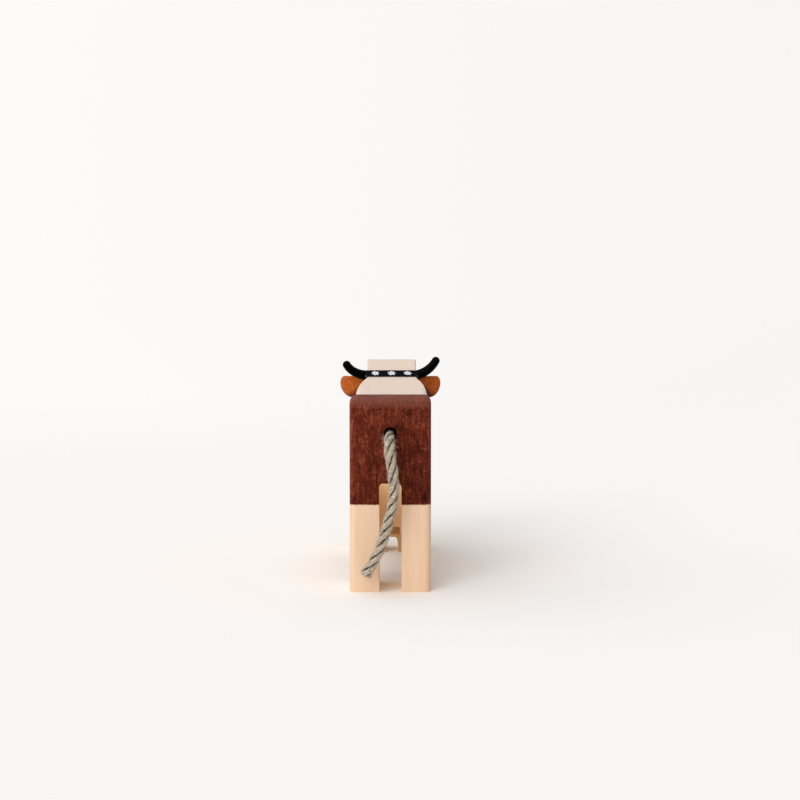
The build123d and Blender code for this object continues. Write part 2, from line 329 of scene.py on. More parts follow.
def eased(corners: list[Pair], rounding: float, steps: int) -> list[Pair]:
    """A profile whose inner corners are rounded with small curves.

    Args:
        corners: The profile's corners.
        rounding: How far from a corner its curve starts, at most.
        steps: How many spans each curve has.

    Returns:
        The rounded profile's points.
    """
    line = [Vector(corner) for corner in corners]
    rounded = [line[0]]
    for before, corner, after in zip(line, line[1:], line[2:]):
        start = corner + (before - corner).normalized() * min(rounding, (before - corner).length / 2)
        end = corner + (after - corner).normalized() * min(rounding, (after - corner).length / 2)
        for step in range(steps + 1):
            share = step / steps
            rounded.append(start.lerp(corner, share).lerp(corner.lerp(end, share), share))
    rounded.append(line[-1])
    return [tuple(point) for point in rounded]


@dataclass(frozen=True)
class Finish:
    """A surface finish that makes its own material."""

    name: str = "finish"
    roughness: float = 0.5
    specular: float = 0.5

    def sockets(self, tree: Tree) -> dict:
        """What differs from the plain surface shader.

        Args:
            tree: The material's tree, which gets the nodes.

        Returns:
            Socket name to a value, or to the socket that feeds it.
        """
        raise NotImplementedError

    def material(self) -> bpy.types.Material:
        """Makes the finish's material.

        Returns:
            The material, with its surface shader linked.
        """
        material = bpy.data.materials.new(self.name)
        material.use_nodes = True
        tree = material.node_tree
        tree.nodes.clear()
        plain = {"Roughness": self.roughness, "Specular IOR Level": self.specular}
        shader = add_node(tree, "BsdfPrincipled", {**plain, **self.sockets(tree)})
        add_node(tree, "OutputMaterial", {"Surface": shader})
        return material


@dataclass(frozen=True)
class StainedLimewood(Finish):
    """Limewood, sawn and sanded, with mahogany stain over the rump and back.

    The bare wood is pale and nearly without figure. The stain sinks into the fibres, so it is
    streaked along the grain, and the sandpaper's and saw's scratches show lighter in it.
    """

    name: str = "limewood_sawn_sanded_stained"
    pale_wood: str = "#E6C6A9"
    deep_wood: str = "#DEBA9A"
    heartwood: str = "#FAD8AC"
    # Painted shade colour for the gap under the belly, between the legs
    sawn: str = "#BC9060"
    wash: str = "#DDCEC2"
    muzzle: str = "#D9A58E"
    stain_dark: str = "#2A0803"
    stain_mid: str = "#5C2110"
    stain_warm: str = "#904A33"
    # Painted sheen colour for the croup's rounded top edge
    stain_sheen: str = "#86564A"
    # Painted shade inside the tail's hole
    hole_shade: str = "#0A0504"
    fibre_width: float = 0.45
    fibre_length: float = 14.0
    figure_width: float = 3.2
    figure_length: float = 46.67
    tone_spread: float = 0.3
    rear_face: float = -59.75
    drift_size: float = 16.129
    brush_size: float = 0.7692
    rump_edge_height: float = 32.4
    rump_swell: Pair = (-4.0, 10.5)
    swell_end: float = -30.0
    edge_raggedness: float = 0.1
    edge_outside: float = -0.15
    edge_inside: float = 0.25
    front_edge: float = 4.0
    front_bulge: float = 8.0
    front_wander: float = 6.0
    bulge_height: float = 50.0
    bulge_reach: float = 18.0
    corner_blend: float = 1.5
    slot_half_width: float = 4.14
    slot_top: float = 40.4
    slot_lip: float = -59.73
    front_slot_half_width: float = 2.8
    front_slot_start: float = 30.0
    front_slot_top: float = 31.0
    gap_back: float = -39.0
    gap_front: float = 27.0
    gap_top: float = 31.0
    foot_edge: float = 0.1
    gap_shade_tilt: float = 0.4
    wash_patch_size: float = 4.545
    wash_raggedness: float = 16.0
    wash_start: float = 46.0
    wash_full: float = 56.0
    wash_cover: float = 0.82
    wash_back: float = -12.0
    muzzle_raggedness: float = 6.0
    muzzle_start: float = 50.5
    muzzle_full: float = 62.0
    muzzle_cover: float = 0.8
    stroke_width: float = 0.7
    stroke_length: float = 5.0
    fleck_size: float = 0.8
    blotch_size: float = 4.2
    across_weight: float = 0.45
    fleck_weight: float = 0.55
    blotch_weight: float = 0.6
    stain_spread: float = 0.36
    # Painted shade: the tail cord's shadow on the rump, and a darker stain low on the right side
    cord_shadow_spot: Spot = (5.5, -59.75, 54.0)
    cord_shadow_reach: float = 11.0
    shade_depth: float = 0.2
    low_shade_lean: float = 0.5
    low_shade_start: float = -62.0
    low_shade_full: float = -30.0
    rim_start: float = 13.3
    rim_end: float = 14.7
    rim_lightening: float = 0.22
    scratch_spacing: float = 1.6
    scratch_centre: Spot = (38.0, -59.75, 92.0)
    scratch_waver: float = 3.4
    scratch_edge: float = 0.7
    scratch_gap_size: float = 3.571
    scratch_gap: float = 0.5
    scratch_full: float = 0.66
    scratch_strength: float = 0.5
    # Where the painted sheen lies on the croup's top edge
    sheen_end: float = 5.5
    sheen_full: float = 2.0
    sheen_low: float = 67.62
    sheen_high: float = 71.0
    hole_height: float = 58.7
    hole_radius: float = 2.42
    hole_lip: float = -59.7
    hole_floor: float = -50.0
    relief: float = 0.1
    roughness: float = 0.62
    specular: float = 0.06

    def where(self, tree: Tree, tests: tuple[tuple[Socket, Socket | float, str], ...]) -> Socket:
        """Where several tests all hold.

        Args:
            tree: The tree that gets the nodes.
            tests: For each, a value, its limit and how they are compared.

        Returns:
            1 where they all hold, and 0 elsewhere.
        """
        mask = 1.0
        for value, limit, test in tests:
            held = add_node(tree, "Math", (value, limit), operation=test)
            mask = add_node(tree, "Math", (mask, held), operation="MULTIPLY")
        return mask

    def patch(self, tree: Tree, place: Socket, axes: Axes) -> Socket:
        """The stained patch, whose edge was brushed by hand and stops at the saw cut.

        Args:
            tree: The tree that gets the nodes.
            place: The surface point.
            axes: Its x, y and z.

        Returns:
            How far each point lies inside the patch, from 0 outside to 1 inside.
        """
        x, y, z = axes
        drift = add_node(tree, "TexNoise", {"Vector": place, "Scale": 1 / self.drift_size, "Detail": 0.8})
        brush = add_node(tree, "TexNoise", {"Vector": place, "Scale": 1 / self.brush_size, "Detail": 4.0})
        away = add_node(
            tree,
            "MapRange",
            {"Value": y, "From Min": self.rear_face + 1, "From Max": self.swell_end},
            interpolation_type="SMOOTHSTEP",
        )
        least, most = self.rump_swell
        swell = add_node(tree, "MapRange", {"Value": drift, **NOISE_RANGE, "To Min": least, "To Max": most})
        lift = add_node(tree, "Math", (away, swell), operation="MULTIPLY")
        rough = self.edge_raggedness
        ragged = add_node(
            tree, "MapRange", {"Value": brush, **NOISE_RANGE, "To Min": -rough, "To Max": rough}
        )
        low = add_node(tree, "Math", (z, self.rump_edge_height), operation="SUBTRACT")
        low = add_node(tree, "Math", (low, lift), operation="SUBTRACT")
        rise = add_node(tree, "Math", (z, self.bulge_height), operation="SUBTRACT")
        rise = add_node(tree, "Math", (rise, self.bulge_reach), operation="DIVIDE")
        rise = add_node(tree, "Math", (rise, 2.0), operation="POWER")
        bulge = add_node(tree, "Math", (1.0, rise), operation="SUBTRACT")
        bulge = add_node(tree, "Math", (bulge, self.front_bulge, self.front_edge), operation="MULTIPLY_ADD")
        stray = self.front_wander
        wander = add_node(
            tree, "MapRange", {"Value": drift, **NOISE_RANGE, "To Min": -stray, "To Max": stray}
        )
        front = add_node(tree, "Math", (bulge, y), operation="SUBTRACT")
        front = add_node(tree, "Math", (front, wander), operation="ADD")
        inside = add_node(tree, "Math", (low, front, self.corner_blend), operation="SMOOTH_MIN")
        inside = add_node(tree, "Math", (inside, ragged), operation="ADD")
        painted = add_node(
            tree, "MapRange", {"Value": inside, "From Min": self.edge_outside, "From Max": self.edge_inside}
        )
        side = add_node(tree, "Math", (x,), operation="ABSOLUTE")
        clear = add_node(tree, "Math", (side, self.slot_half_width), operation="GREATER_THAN")
        for value, limit, test in ((z, self.slot_top, "GREATER_THAN"), (y, self.slot_lip, "LESS_THAN")):
            beyond = add_node(tree, "Math", (value, limit), operation=test)
            clear = add_node(tree, "Math", (clear, beyond), operation="MAXIMUM")
        return add_node(tree, "Math", (painted, clear), operation="MULTIPLY")

    def painted_shade(self, tree: Tree, place: Socket, axes: Axes) -> Socket:
        """Painted shade on the stain: the tail cord's shadow below and right of its hole, and shade low on
        the right.

        Args:
            tree: The tree that gets the nodes.
            place: The surface point.
            axes: Its x, y and z.

        Returns:
            How much darker the painted shade makes the stain.
        """
        near = add_node(tree, "VectorMath", (place, self.cord_shadow_spot), output="Value", operation="DISTANCE")
        near = add_node(
            tree,
            "MapRange",
            {"Value": near, "From Min": self.cord_shadow_reach, "To Max": self.shade_depth},
            interpolation_type="SMOOTHSTEP",
        )
        low = add_node(tree, "Math", (axes[0], self.low_shade_lean), operation="MULTIPLY")
        low = add_node(tree, "Math", (low, axes[2]), operation="SUBTRACT")
        low = add_node(
            tree,
            "MapRange",
            {
                "Value": low,
                "From Min": self.low_shade_start,
                "From Max": self.low_shade_full,
                "To Max": self.shade_depth,
            },
        )
        return add_node(tree, "Math", (near, low), operation="MAXIMUM")

    def bare_wood(self, tree: Tree, place: Socket, axes: Axes, fibres: Socket) -> Socket:
        """The pale wood, with the saw cuts' orange tan and painted shade in the gap between the legs.

        Args:
            tree: The tree that gets the nodes.
            place: The surface point.
            axes: Its x, y and z.
            fibres: The pattern of the wood's fibres.

        Returns:
            The wood's colour.
        """
        x, y, z = axes
        along_figure = (1 / self.figure_width, 1 / self.figure_width, 1 / self.figure_length)
        figure = add_node(tree, "VectorMath", (place, along_figure), operation="MULTIPLY")
        figure = add_node(tree, "TexNoise", {"Vector": figure, "Scale": 1.0, "Detail": 2.0})
        tone = add_node(tree, "Math", (fibres, figure), operation="ADD")
        tone = add_node(
            tree,
            "MapRange",
            {"Value": tone, "From Min": 1 - self.tone_spread, "From Max": 1 + self.tone_spread},
        )
        wood = add_node(
            tree, "Mix", {0: tone, UNDER: linear(self.pale_wood), OVER: linear(self.deep_wood)}, **TINTED
        )

        # The saw cut between the legs was never washed, and shows the wood's own orange tan
        side = add_node(tree, "Math", (x,), operation="ABSOLUTE")
        ahead = add_node(tree, "Math", (y, self.front_slot_start), operation="GREATER_THAN")
        reach, top = (
            add_node(tree, "Math", (ahead, front - rear, rear), operation="MULTIPLY_ADD")
            for rear, front in (
                (self.slot_half_width, self.front_slot_half_width),
                (self.slot_top, self.front_slot_top),
            )
        )
        cut = ((side, reach, "LESS_THAN"), (z, top, "LESS_THAN"), (y, self.slot_lip, "GREATER_THAN"))

        # Painted shade: the faces in the gap under the belly, between the legs, are coloured darker for the
        # shade that falls there
        facing = add_node(tree, "NewGeometry", output="True Normal")
        facing = add_node(tree, "SeparateXYZ", (facing,), output="X")
        facing = add_node(tree, "Math", (facing,), operation="ABSOLUTE")
        gap_shade_mask = (
            (facing, self.gap_shade_tilt, "LESS_THAN"),
            (y, self.gap_back, "GREATER_THAN"),
            (y, self.gap_front, "LESS_THAN"),
            (z, self.gap_top, "LESS_THAN"),
            (z, self.foot_edge, "GREATER_THAN"),
        )
        for tests, tint in ((cut, self.heartwood), (gap_shade_mask, self.sawn)):
            mask = self.where(tree, tests)
            wood = add_node(tree, "Mix", {0: mask, UNDER: wood, OVER: linear(tint)}, **TINTED)
        return wood

    def washed(self, tree: Tree, place: Socket, axes: Axes, wood: Socket) -> Socket:
        """The wash over neck and head, which thins out down the chest, and the muzzle's tint.

        Args:
            tree: The tree that gets the nodes.
            place: The surface point.
            axes: Its x, y and z.
            wood: The bare wood's colour.

        Returns:
            The colour of what the stain leaves.
        """
        x, y, z = axes
        thin = add_node(tree, "TexNoise", {"Vector": place, "Scale": 1 / self.wash_patch_size, "Detail": 6.0})
        height, snout = (
            add_node(tree, "Math", (thin, ragged, axis), operation="MULTIPLY_ADD")
            for ragged, axis in ((self.wash_raggedness, z), (self.muzzle_raggedness, y))
        )
        covered, snout = (
            add_node(
                tree,
                "MapRange",
                {"Value": value, "From Min": start, "From Max": full, "To Max": cover},
                interpolation_type="SMOOTHSTEP",
            )
            for value, start, full, cover in (
                (height, self.wash_start, self.wash_full, self.wash_cover),
                (snout, self.muzzle_start, self.muzzle_full, self.muzzle_cover),
            )
        )
        ahead = add_node(tree, "Math", (y, self.wash_back), operation="GREATER_THAN")
        covered = add_node(tree, "Math", (covered, ahead), operation="MULTIPLY")
        for mask, tint in ((covered, self.wash), (snout, self.muzzle)):
            wood = add_node(tree, "Mix", {0: mask, UNDER: wood, OVER: linear(tint)}, **TINTED)
        return wood

    def brushed_stain(self, tree: Tree, place: Socket, axes: Axes, blotch: Socket) -> Socket:
        """Dry brush strokes up and across over blotches, lighter along the board's side edges.

        Args:
            tree: The tree that gets the nodes.
            place: The surface point.
            axes: Its x, y and z.
            blotch: The pattern of the stain's blotches.

        Returns:
            The stain's colour before the saw's scratches.
        """
        strokes = []
        for long_axes in ((2,), (0, 1)):
            stretch = [1 / self.stroke_width] * 3
            for axis in long_axes:
                stretch[axis] = 1 / self.stroke_length
            laid = add_node(tree, "VectorMath", (place, tuple(stretch)), operation="MULTIPLY")
            strokes.append(
                add_node(tree, "TexNoise", {"Vector": laid, "Scale": 1.0, "Detail": 3.0, "Roughness": 0.65})
            )
        fleck = add_node(
            tree, "TexNoise", {"Vector": place, "Scale": 1 / self.fleck_size, "Detail": 3.0, "Roughness": 0.6}
        )
        brushed = strokes[0]
        weights = (self.across_weight, self.fleck_weight, self.blotch_weight)
        for marks, weight in zip((strokes[1], fleck, blotch), weights):
            brushed = add_node(tree, "Math", (marks, weight, brushed), operation="MULTIPLY_ADD")
        middle = (1 + sum(weights)) / 2
        depth = add_node(
            tree,
            "MapRange",
            {
                "Value": brushed,
                "From Min": middle - self.stain_spread,
                "From Max": middle + self.stain_spread,
            },
        )
        # Painted shade from the tail cord's shadow and from low on the right darkens the stain here
        shade = self.painted_shade(tree, place, axes)
        depth = add_node(tree, "Math", (depth, shade), operation="SUBTRACT")
        # The stain is lighter along the rump's rounded side edges
        rim = add_node(tree, "Math", (axes[0],), operation="ABSOLUTE")
        rim = add_node(
            tree,
            "MapRange",
            {"Value": rim, "From Min": self.rim_start, "From Max": self.rim_end, "To Max": self.rim_lightening},
            interpolation_type="SMOOTHSTEP",
        )
        depth = add_node(tree, "Math", (depth, rim), operation="ADD", use_clamp=True)
        stain = add_node(tree, "ValToRGB", (depth,))
        ramp = stain.node.color_ramp
        ramp.elements[0].color = linear(self.stain_dark)
        ramp.elements[1].color = linear(self.stain_warm)
        ramp.elements.new(0.5).color = linear(self.stain_mid)
        return stain

    def scratches(self, tree: Tree, place: Socket, blotch: Socket) -> Socket:
        """The saw's arcs, which waver and break off.

        Args:
            tree: The tree that gets the nodes.
            place: The surface point.
            blotch: The pattern that makes them waver.

        Returns:
            How strongly a scratch shows at each point.
        """
        centre = add_node(
            tree, "VectorMath", (place, self.scratch_centre), output="Value", operation="DISTANCE"
        )
        warp = add_node(tree, "Math", (blotch, self.scratch_waver, centre), operation="MULTIPLY_ADD")
        turns = add_node(tree, "Math", (warp, FULL_TURN / self.scratch_spacing), operation="MULTIPLY")
        lines = add_node(tree, "Math", (turns,), operation="SINE")
        lines = add_node(tree, "MapRange", {"Value": lines, "From Min": self.scratch_edge})
        broken = add_node(
            tree, "TexNoise", {"Vector": place, "Scale": 1 / self.scratch_gap_size, "Detail": 5.0}
        )
        broken = add_node(
            tree,
            "MapRange",
            {
                "Value": broken,
                "From Min": self.scratch_gap,
                "From Max": self.scratch_full,
                "To Max": self.scratch_strength,
            },
        )
        return add_node(tree, "Math", (lines, broken), operation="MULTIPLY")

    def croup_sheen(self, tree: Tree, axes: Axes, fibres: Socket) -> Socket:
        """Painted sheen: the croup's rounded top edge is made lighter, where it catches the light from above.

        Args:
            tree: The tree that gets the nodes.
            axes: The surface point's x, y and z.
            fibres: The pattern of the wood's fibres.

        Returns:
            How far the painted sheen lightens the stain.
        """
        back = add_node(tree, "Math", (axes[1], self.rear_face), operation="SUBTRACT")
        croup_sheen = fibres
        limits = ((back, self.sheen_end, self.sheen_full), (axes[2], self.sheen_low, self.sheen_high))
        for value, start, full in limits:
            share = add_node(tree, "MapRange", {"Value": value, "From Min": start, "From Max": full})
            croup_sheen = add_node(tree, "Math", (croup_sheen, share), operation="MULTIPLY")
        return croup_sheen

    def sockets(self, tree: Tree) -> dict:
        """Bare wood, the white wash on head and neck, and the stain with its marks.

        Args:
            tree: The material's tree.

        Returns:
            What differs from the plain shader.
        """
        place = millimetres(tree)
        x, y, z = axes = tuple(
            add_node(tree, "SeparateXYZ", (place,), output=axis) for axis in "XYZ"
        )
        along_grain = (1 / self.fibre_width, 1 / self.fibre_width, 1 / self.fibre_length)
        grain = add_node(tree, "VectorMath", (place, along_grain), operation="MULTIPLY")
        fibres = add_node(tree, "TexNoise", {"Vector": grain, "Scale": 1.0, "Detail": 5.0, "Roughness": 0.6})
        blotch = add_node(
            tree,
            "TexNoise",
            {"Vector": place, "Scale": 1 / self.blotch_size, "Detail": 4.0, "Roughness": 0.6},
        )
        wood = self.washed(tree, place, axes, self.bare_wood(tree, place, axes, fibres))
        stain = self.brushed_stain(tree, place, axes, blotch)
        scratches = self.scratches(tree, place, blotch)
        croup_sheen = self.croup_sheen(tree, axes, fibres)
        # The saw's scratches, then the painted sheen on the croup's edge
        for mask, tint in ((scratches, self.stain_warm), (croup_sheen, self.stain_sheen)):
            stain = add_node(tree, "Mix", {0: mask, UNDER: stain, OVER: linear(tint)}, **TINTED)
        patch = self.patch(tree, place, axes)
        colour = add_node(tree, "Mix", {0: patch, UNDER: wood, OVER: stain}, **TINTED)

        # Painted shade: the drilled tail hole is coloured near-black inside for the shade in it
        off_axis = add_node(
            tree,
            "VectorMath",
            (add_node(tree, "CombineXYZ", {0: x, 2: z}), (0, 0, self.hole_height)),
            output="Value",
            operation="DISTANCE",
        )
        tests = (
            (off_axis, self.hole_radius, "LESS_THAN"),
            (y, self.hole_lip, "GREATER_THAN"),
            (y, self.hole_floor, "LESS_THAN"),
        )
        hole = self.where(tree, tests)
        colour = add_node(tree, "Mix", {0: hole, UNDER: colour, OVER: linear(self.hole_shade)}, **TINTED)
        relief = add_node(tree, "Math", (fibres, scratches), operation="ADD")
        bump = add_node(tree, "Bump", {"Height": relief, "Strength": 0.35, "Distance": self.relief * MM})
        return {"Base Color": colour, "Normal": bump}


@dataclass(frozen=True)
class SatinLacquer(Finish):
    """Black lacquer brushed on beech, which lies in a thin even coat with faint brush ridges."""

    name: str = "black_lacquer_brushed"
    colour: str = "#010102"
    brush_width: float = 0.5
    relief: float = 0.08
    roughness_between: float = 0.34
    roughness_on_ridge: float = 0.54
    specular: float = 0.025

    def sockets(self, tree: Tree) -> dict:
        """A near-black coat with soft ridges from the brush.

        Args:
            tree: The material's tree.

        Returns:
            What differs from the plain shader.
        """
        place = millimetres(tree)
        ridges = add_node(
            tree,
            "TexNoise",
            {"Vector": place, "Scale": 1 / self.brush_width, "Detail": 3.0, "Roughness": 0.55},
        )
        bump = add_node(tree, "Bump", {"Height": ridges, "Strength": 0.3, "Distance": self.relief * MM})
        rough = add_node(
            tree,
            "MapRange",
            {"Value": ridges, "To Min": self.roughness_between, "To Max": self.roughness_on_ridge},
        )
        return {"Base Color": linear(self.colour), "Roughness": rough, "Normal": bump}


@dataclass(frozen=True)
class SplitLeather(Finish):
    """Tan split leather, whose raw suede side shows short fibres and uneven dye."""

    name: str = "tan_leather_split"
    tan: str = "#82300A"
    pale: str = "#CC6C12"
    # Painted shade colour for the ear's lower part, nearest the head
    dark: str = "#4A1408"
    fibre_size: float = 0.75
    fibre_dark: float = 0.35
    fibre_light: float = 0.7
    cloud_size: float = 2.6
    cloud_reach: float = 4.0
    ear_shade_below: float = 81.5
    ear_shade_span: float = 4.2
    ear_shade_lean: float = 0.8
    relief: float = 0.12
    roughness: float = 0.85
    specular: float = 0.2
    nap_sheen: float = 0.15

    def sockets(self, tree: Tree) -> dict:
        """Mottled tan with painted shade towards the lower edge and the head, with a fibrous nap.

        Args:
            tree: The material's tree.

        Returns:
            What differs from the plain shader.
        """
        place = millimetres(tree)
        cloud = add_node(
            tree,
            "TexNoise",
            {"Vector": place, "Scale": 1 / self.cloud_size, "Detail": 5.0, "Roughness": 0.65},
        )
        nap = add_node(
            tree, "TexNoise", {"Vector": place, "Scale": 1 / self.fibre_size, "Detail": 4.0, "Roughness": 0.7}
        )
        light = add_node(
            tree, "MapRange", {"Value": nap, "From Min": self.fibre_dark, "From Max": self.fibre_light}
        )
        colour = add_node(tree, "Mix", {0: light, UNDER: linear(self.tan), OVER: linear(self.pale)}, **TINTED)
        # Painted shade: the ear is coloured darker towards its lower edge and towards the head
        height = add_node(tree, "SeparateXYZ", (place,), output="Z")
        out = add_node(tree, "SeparateXYZ", (place,), output="X")
        out = add_node(tree, "Math", (out,), operation="ABSOLUTE")
        for marks, weight in ((out, self.ear_shade_lean), (cloud, self.cloud_reach)):
            height = add_node(tree, "Math", (marks, weight, height), operation="MULTIPLY_ADD")
        low = add_node(
            tree,
            "MapRange",
            {
                "Value": height,
                "From Min": self.ear_shade_below + self.ear_shade_span,
                "From Max": self.ear_shade_below,
            },
            interpolation_type="SMOOTHSTEP",
        )
        colour = add_node(tree, "Mix", {0: low, UNDER: colour, OVER: linear(self.dark)}, **TINTED)
        bump = add_node(tree, "Bump", {"Height": nap, "Strength": 0.6, "Distance": self.relief * MM})
        return {"Base Color": colour, "Sheen Weight": self.nap_sheen, "Normal": bump}


@dataclass(frozen=True)
class WovenPolyester(Finish):
    """Polyester ribbon woven with a fine rib across it, which glints a little along the threads."""

    name: str = "polyester_ribbon_woven"
    warp: str = "#000105"
    weft: str = "#020718"
    rib_spacing: float = 0.42
    warp_spacing: float = 0.3
    relief: float = 0.08
    roughness: float = 0.6
    specular: float = 0.02

    def sockets(self, tree: Tree) -> dict:
        """Ribs across the ribbon with warp threads over them, coarse enough to show.

        Args:
            tree: The material's tree.

        Returns:
            What differs from the plain shader.
        """
        lay = add_node(tree, "UVMap", uv_map="lay")
        waves = []
        for axis, spacing in (("X", self.rib_spacing), ("Y", self.warp_spacing)):
            wave = add_node(tree, "SeparateXYZ", (lay,), output=axis)
            wave = add_node(tree, "Math", (wave, FULL_TURN / spacing), operation="MULTIPLY")
            waves.append(add_node(tree, "Math", (wave,), operation="SINE"))
        ribs, warps = waves
        weave = add_node(tree, "Math", (ribs, warps), operation="MULTIPLY")
        weave = add_node(tree, "Math", (weave, 0.5, 0.5), operation="MULTIPLY_ADD")
        colour = add_node(
            tree, "Mix", {0: weave, UNDER: linear(self.warp), OVER: linear(self.weft)}, **TINTED
        )
        bump = add_node(tree, "Bump", {"Height": weave, "Strength": 0.7, "Distance": self.relief * MM})
        return {"Base Color": colour, "Normal": bump}


@dataclass(frozen=True)
class FloatedThread(Finish):
    """White pattern thread that floats over the ribbon's ground, laid in slightly loose lines."""

    name: str = "pattern_thread_woven"
    light: str = "#F6F5F2"
    shade: str = "#D9D7D2"
    thread_width: float = 0.16
    relief: float = 0.06
    roughness: float = 0.7
    specular: float = 0.2

    def sockets(self, tree: Tree) -> dict:
        """Fine lines of thread, lighter on their crowns.

        Args:
            tree: The material's tree.

        Returns:
            What differs from the plain shader.
        """
        lay = add_node(tree, "UVMap", uv_map="lay")
        along = add_node(tree, "SeparateXYZ", (lay,), output="X")
        threads = add_node(tree, "Math", (along, FULL_TURN / self.thread_width), operation="MULTIPLY")
        threads = add_node(tree, "Math", (threads,), operation="SINE")
        threads = add_node(tree, "Math", (threads, 0.5, 0.5), operation="MULTIPLY_ADD")
        colour = add_node(
            tree, "Mix", {0: threads, UNDER: linear(self.shade), OVER: linear(self.light)}, **TINTED
        )
        bump = add_node(tree, "Bump", {"Height": threads, "Strength": 0.6, "Distance": self.relief * MM})
        return {"Base Color": colour, "Normal": bump}


@dataclass(frozen=True)
class LaidHemp(Finish):
    """Hemp, spun and laid, with bleached outer fibres, and dust and painted shade darkening the valleys."""

    name: str = "hemp_cord_laid"
    pale: str = "#DACEBC"
    middle: str = "#9B8A74"
    # Colour of the dust and painted shade in the valleys
    dark: str = "#3E3227"
    fibre_width: float = 0.26
    fibre_length: float = 1.9
    fibre_dark: float = 0.38
    fibre_light: float = 0.6
    speck_size: float = 0.45
    speck_dark: float = 0.4
    speck_clear: float = 0.5
    speck_shade: float = 0.35
    relief: float = 0.12
    roughness: float = 0.9
    specular: float = 0.15

    def sockets(self, tree: Tree) -> dict:
        """Streaks along the yarns, and valleys between the strands darkened by dust and painted shade.

        Args:
            tree: The material's tree.

        Returns:
            What differs from the plain shader.
        """
        lay = add_node(tree, "UVMap", uv_map="lay")
        lengths = (1 / self.fibre_width, 1 / self.fibre_length, 1.0)
        fibre = add_node(tree, "VectorMath", (lay, lengths), operation="MULTIPLY")
        fibre = add_node(tree, "TexNoise", {"Vector": fibre, "Scale": 1.0, "Detail": 3.0, "Roughness": 0.6})
        streak = add_node(
            tree, "MapRange", {"Value": fibre, "From Min": self.fibre_dark, "From Max": self.fibre_light}
        )
        # The crown value is low in the valleys, where dust and painted shade darken the cord
        crown = add_node(tree, "Attribute", output="Fac", attribute_name="crown")
        place = millimetres(tree)
        speck = add_node(
            tree, "TexNoise", {"Vector": place, "Scale": 1 / self.speck_size, "Detail": 3.0, "Roughness": 0.6}
        )
        speck = add_node(
            tree,
            "MapRange",
            {
                "Value": speck,
                "From Min": self.speck_dark,
                "From Max": self.speck_clear,
                "To Min": self.speck_shade,
            },
        )
        crown = add_node(tree, "Math", (crown, speck), operation="MULTIPLY")
        colour = add_node(
            tree, "Mix", {0: streak, UNDER: linear(self.middle), OVER: linear(self.pale)}, **TINTED
        )
        colour = add_node(tree, "Mix", {0: crown, UNDER: linear(self.dark), OVER: colour}, **TINTED)
        bump = add_node(tree, "Bump", {"Height": fibre, "Strength": 0.8, "Distance": self.relief * MM})
        return {"Base Color": colour, "Normal": bump}


@dataclass(frozen=True)
class HempFibre(Finish):
    """Single bleached hemp fibres that stand off the cord."""

    name: str = "hemp_fibre_loose"
    pale: str = "#DDD2C2"
    dark: str = "#A18D76"
    patch_size: float = 1.5
    roughness: float = 0.85
    specular: float = 0.2

    def sockets(self, tree: Tree) -> dict:
        """Pale fibres that vary from one to the next.

        Args:
            tree: The material's tree.

        Returns:
            What differs from the plain shader.
        """
        place = millimetres(tree)
        tone = add_node(tree, "TexNoise", {"Vector": place, "Scale": 1 / self.patch_size, "Detail": 2.0})
        colour = add_node(tree, "Mix", {0: tone, UNDER: linear(self.dark), OVER: linear(self.pale)}, **TINTED)
        return {"Base Color": colour}


@dataclass(frozen=True)
class Brass(Finish):
    """Brass, turned or drawn, with fine tool lines and a little brown tarnish in them."""

    name: str = "brass_turned"
    bright: str = "#E3BC6E"
    tarnish: str = "#A87B3C"
    line_spacing: float = 0.22
    cloud_size: float = 1.8
    tarnish_start: float = 0.45
    tarnish_full: float = 0.8
    tarnish_most: float = 0.5
    relief: float = 0.03
    roughness: float = 0.27
    roughness_less: float = 0.04
    roughness_more: float = 0.07

    def sockets(self, tree: Tree) -> dict:
        """Level tool lines and cloudy tarnish over bright metal.

        Args:
            tree: The material's tree.

        Returns:
            What differs from the plain shader.
        """
        place = millimetres(tree)
        height = add_node(tree, "SeparateXYZ", (place,), output="Z")
        cloud = add_node(
            tree, "TexNoise", {"Vector": place, "Scale": 1 / self.cloud_size, "Detail": 5.0, "Roughness": 0.6}
        )
        lines = add_node(tree, "Math", (height, FULL_TURN / self.line_spacing), operation="MULTIPLY")
        lines = add_node(tree, "Math", (lines,), operation="SINE")
        dull = add_node(
            tree,
            "MapRange",
            {
                "Value": cloud,
                "From Min": self.tarnish_start,
                "From Max": self.tarnish_full,
                "To Max": self.tarnish_most,
            },
        )
        colour = add_node(
            tree, "Mix", {0: dull, UNDER: linear(self.bright), OVER: linear(self.tarnish)}, **TINTED
        )
        rough = add_node(
            tree,
            "MapRange",
            {
                "Value": cloud,
                **NOISE_RANGE,
                "To Min": self.roughness - self.roughness_less,
                "To Max": self.roughness + self.roughness_more,
            },
        )
        bump = add_node(tree, "Bump", {"Height": lines, "Strength": 0.25, "Distance": self.relief * MM})
        return {"Base Color": colour, "Metallic": 1.0, "Roughness": rough, "Normal": bump}


@dataclass(frozen=True)
class EyeEnamel(Finish):
    """Hobby enamel, dabbed on with a fine brush, which dries to a small glossy mound."""

    name: str = "enamel_dabbed"
    colour: str = "#0C0907"
    ripple_size: float = 0.5
    relief: float = 0.05
    roughness: float = 0.16
    specular: float = 0.12

    def sockets(self, tree: Tree) -> dict:
        """A glossy dab with a slightly uneven skin.

        Args:
            tree: The material's tree.

        Returns:
            What differs from the plain shader.
        """
        place = millimetres(tree)
        ripple = add_node(tree, "TexNoise", {"Vector": place, "Scale": 1 / self.ripple_size, "Detail": 1.0})
        bump = add_node(tree, "Bump", {"Height": ripple, "Strength": 0.15, "Distance": self.relief * MM})
        return {"Base Color": linear(self.colour), "Normal": bump}


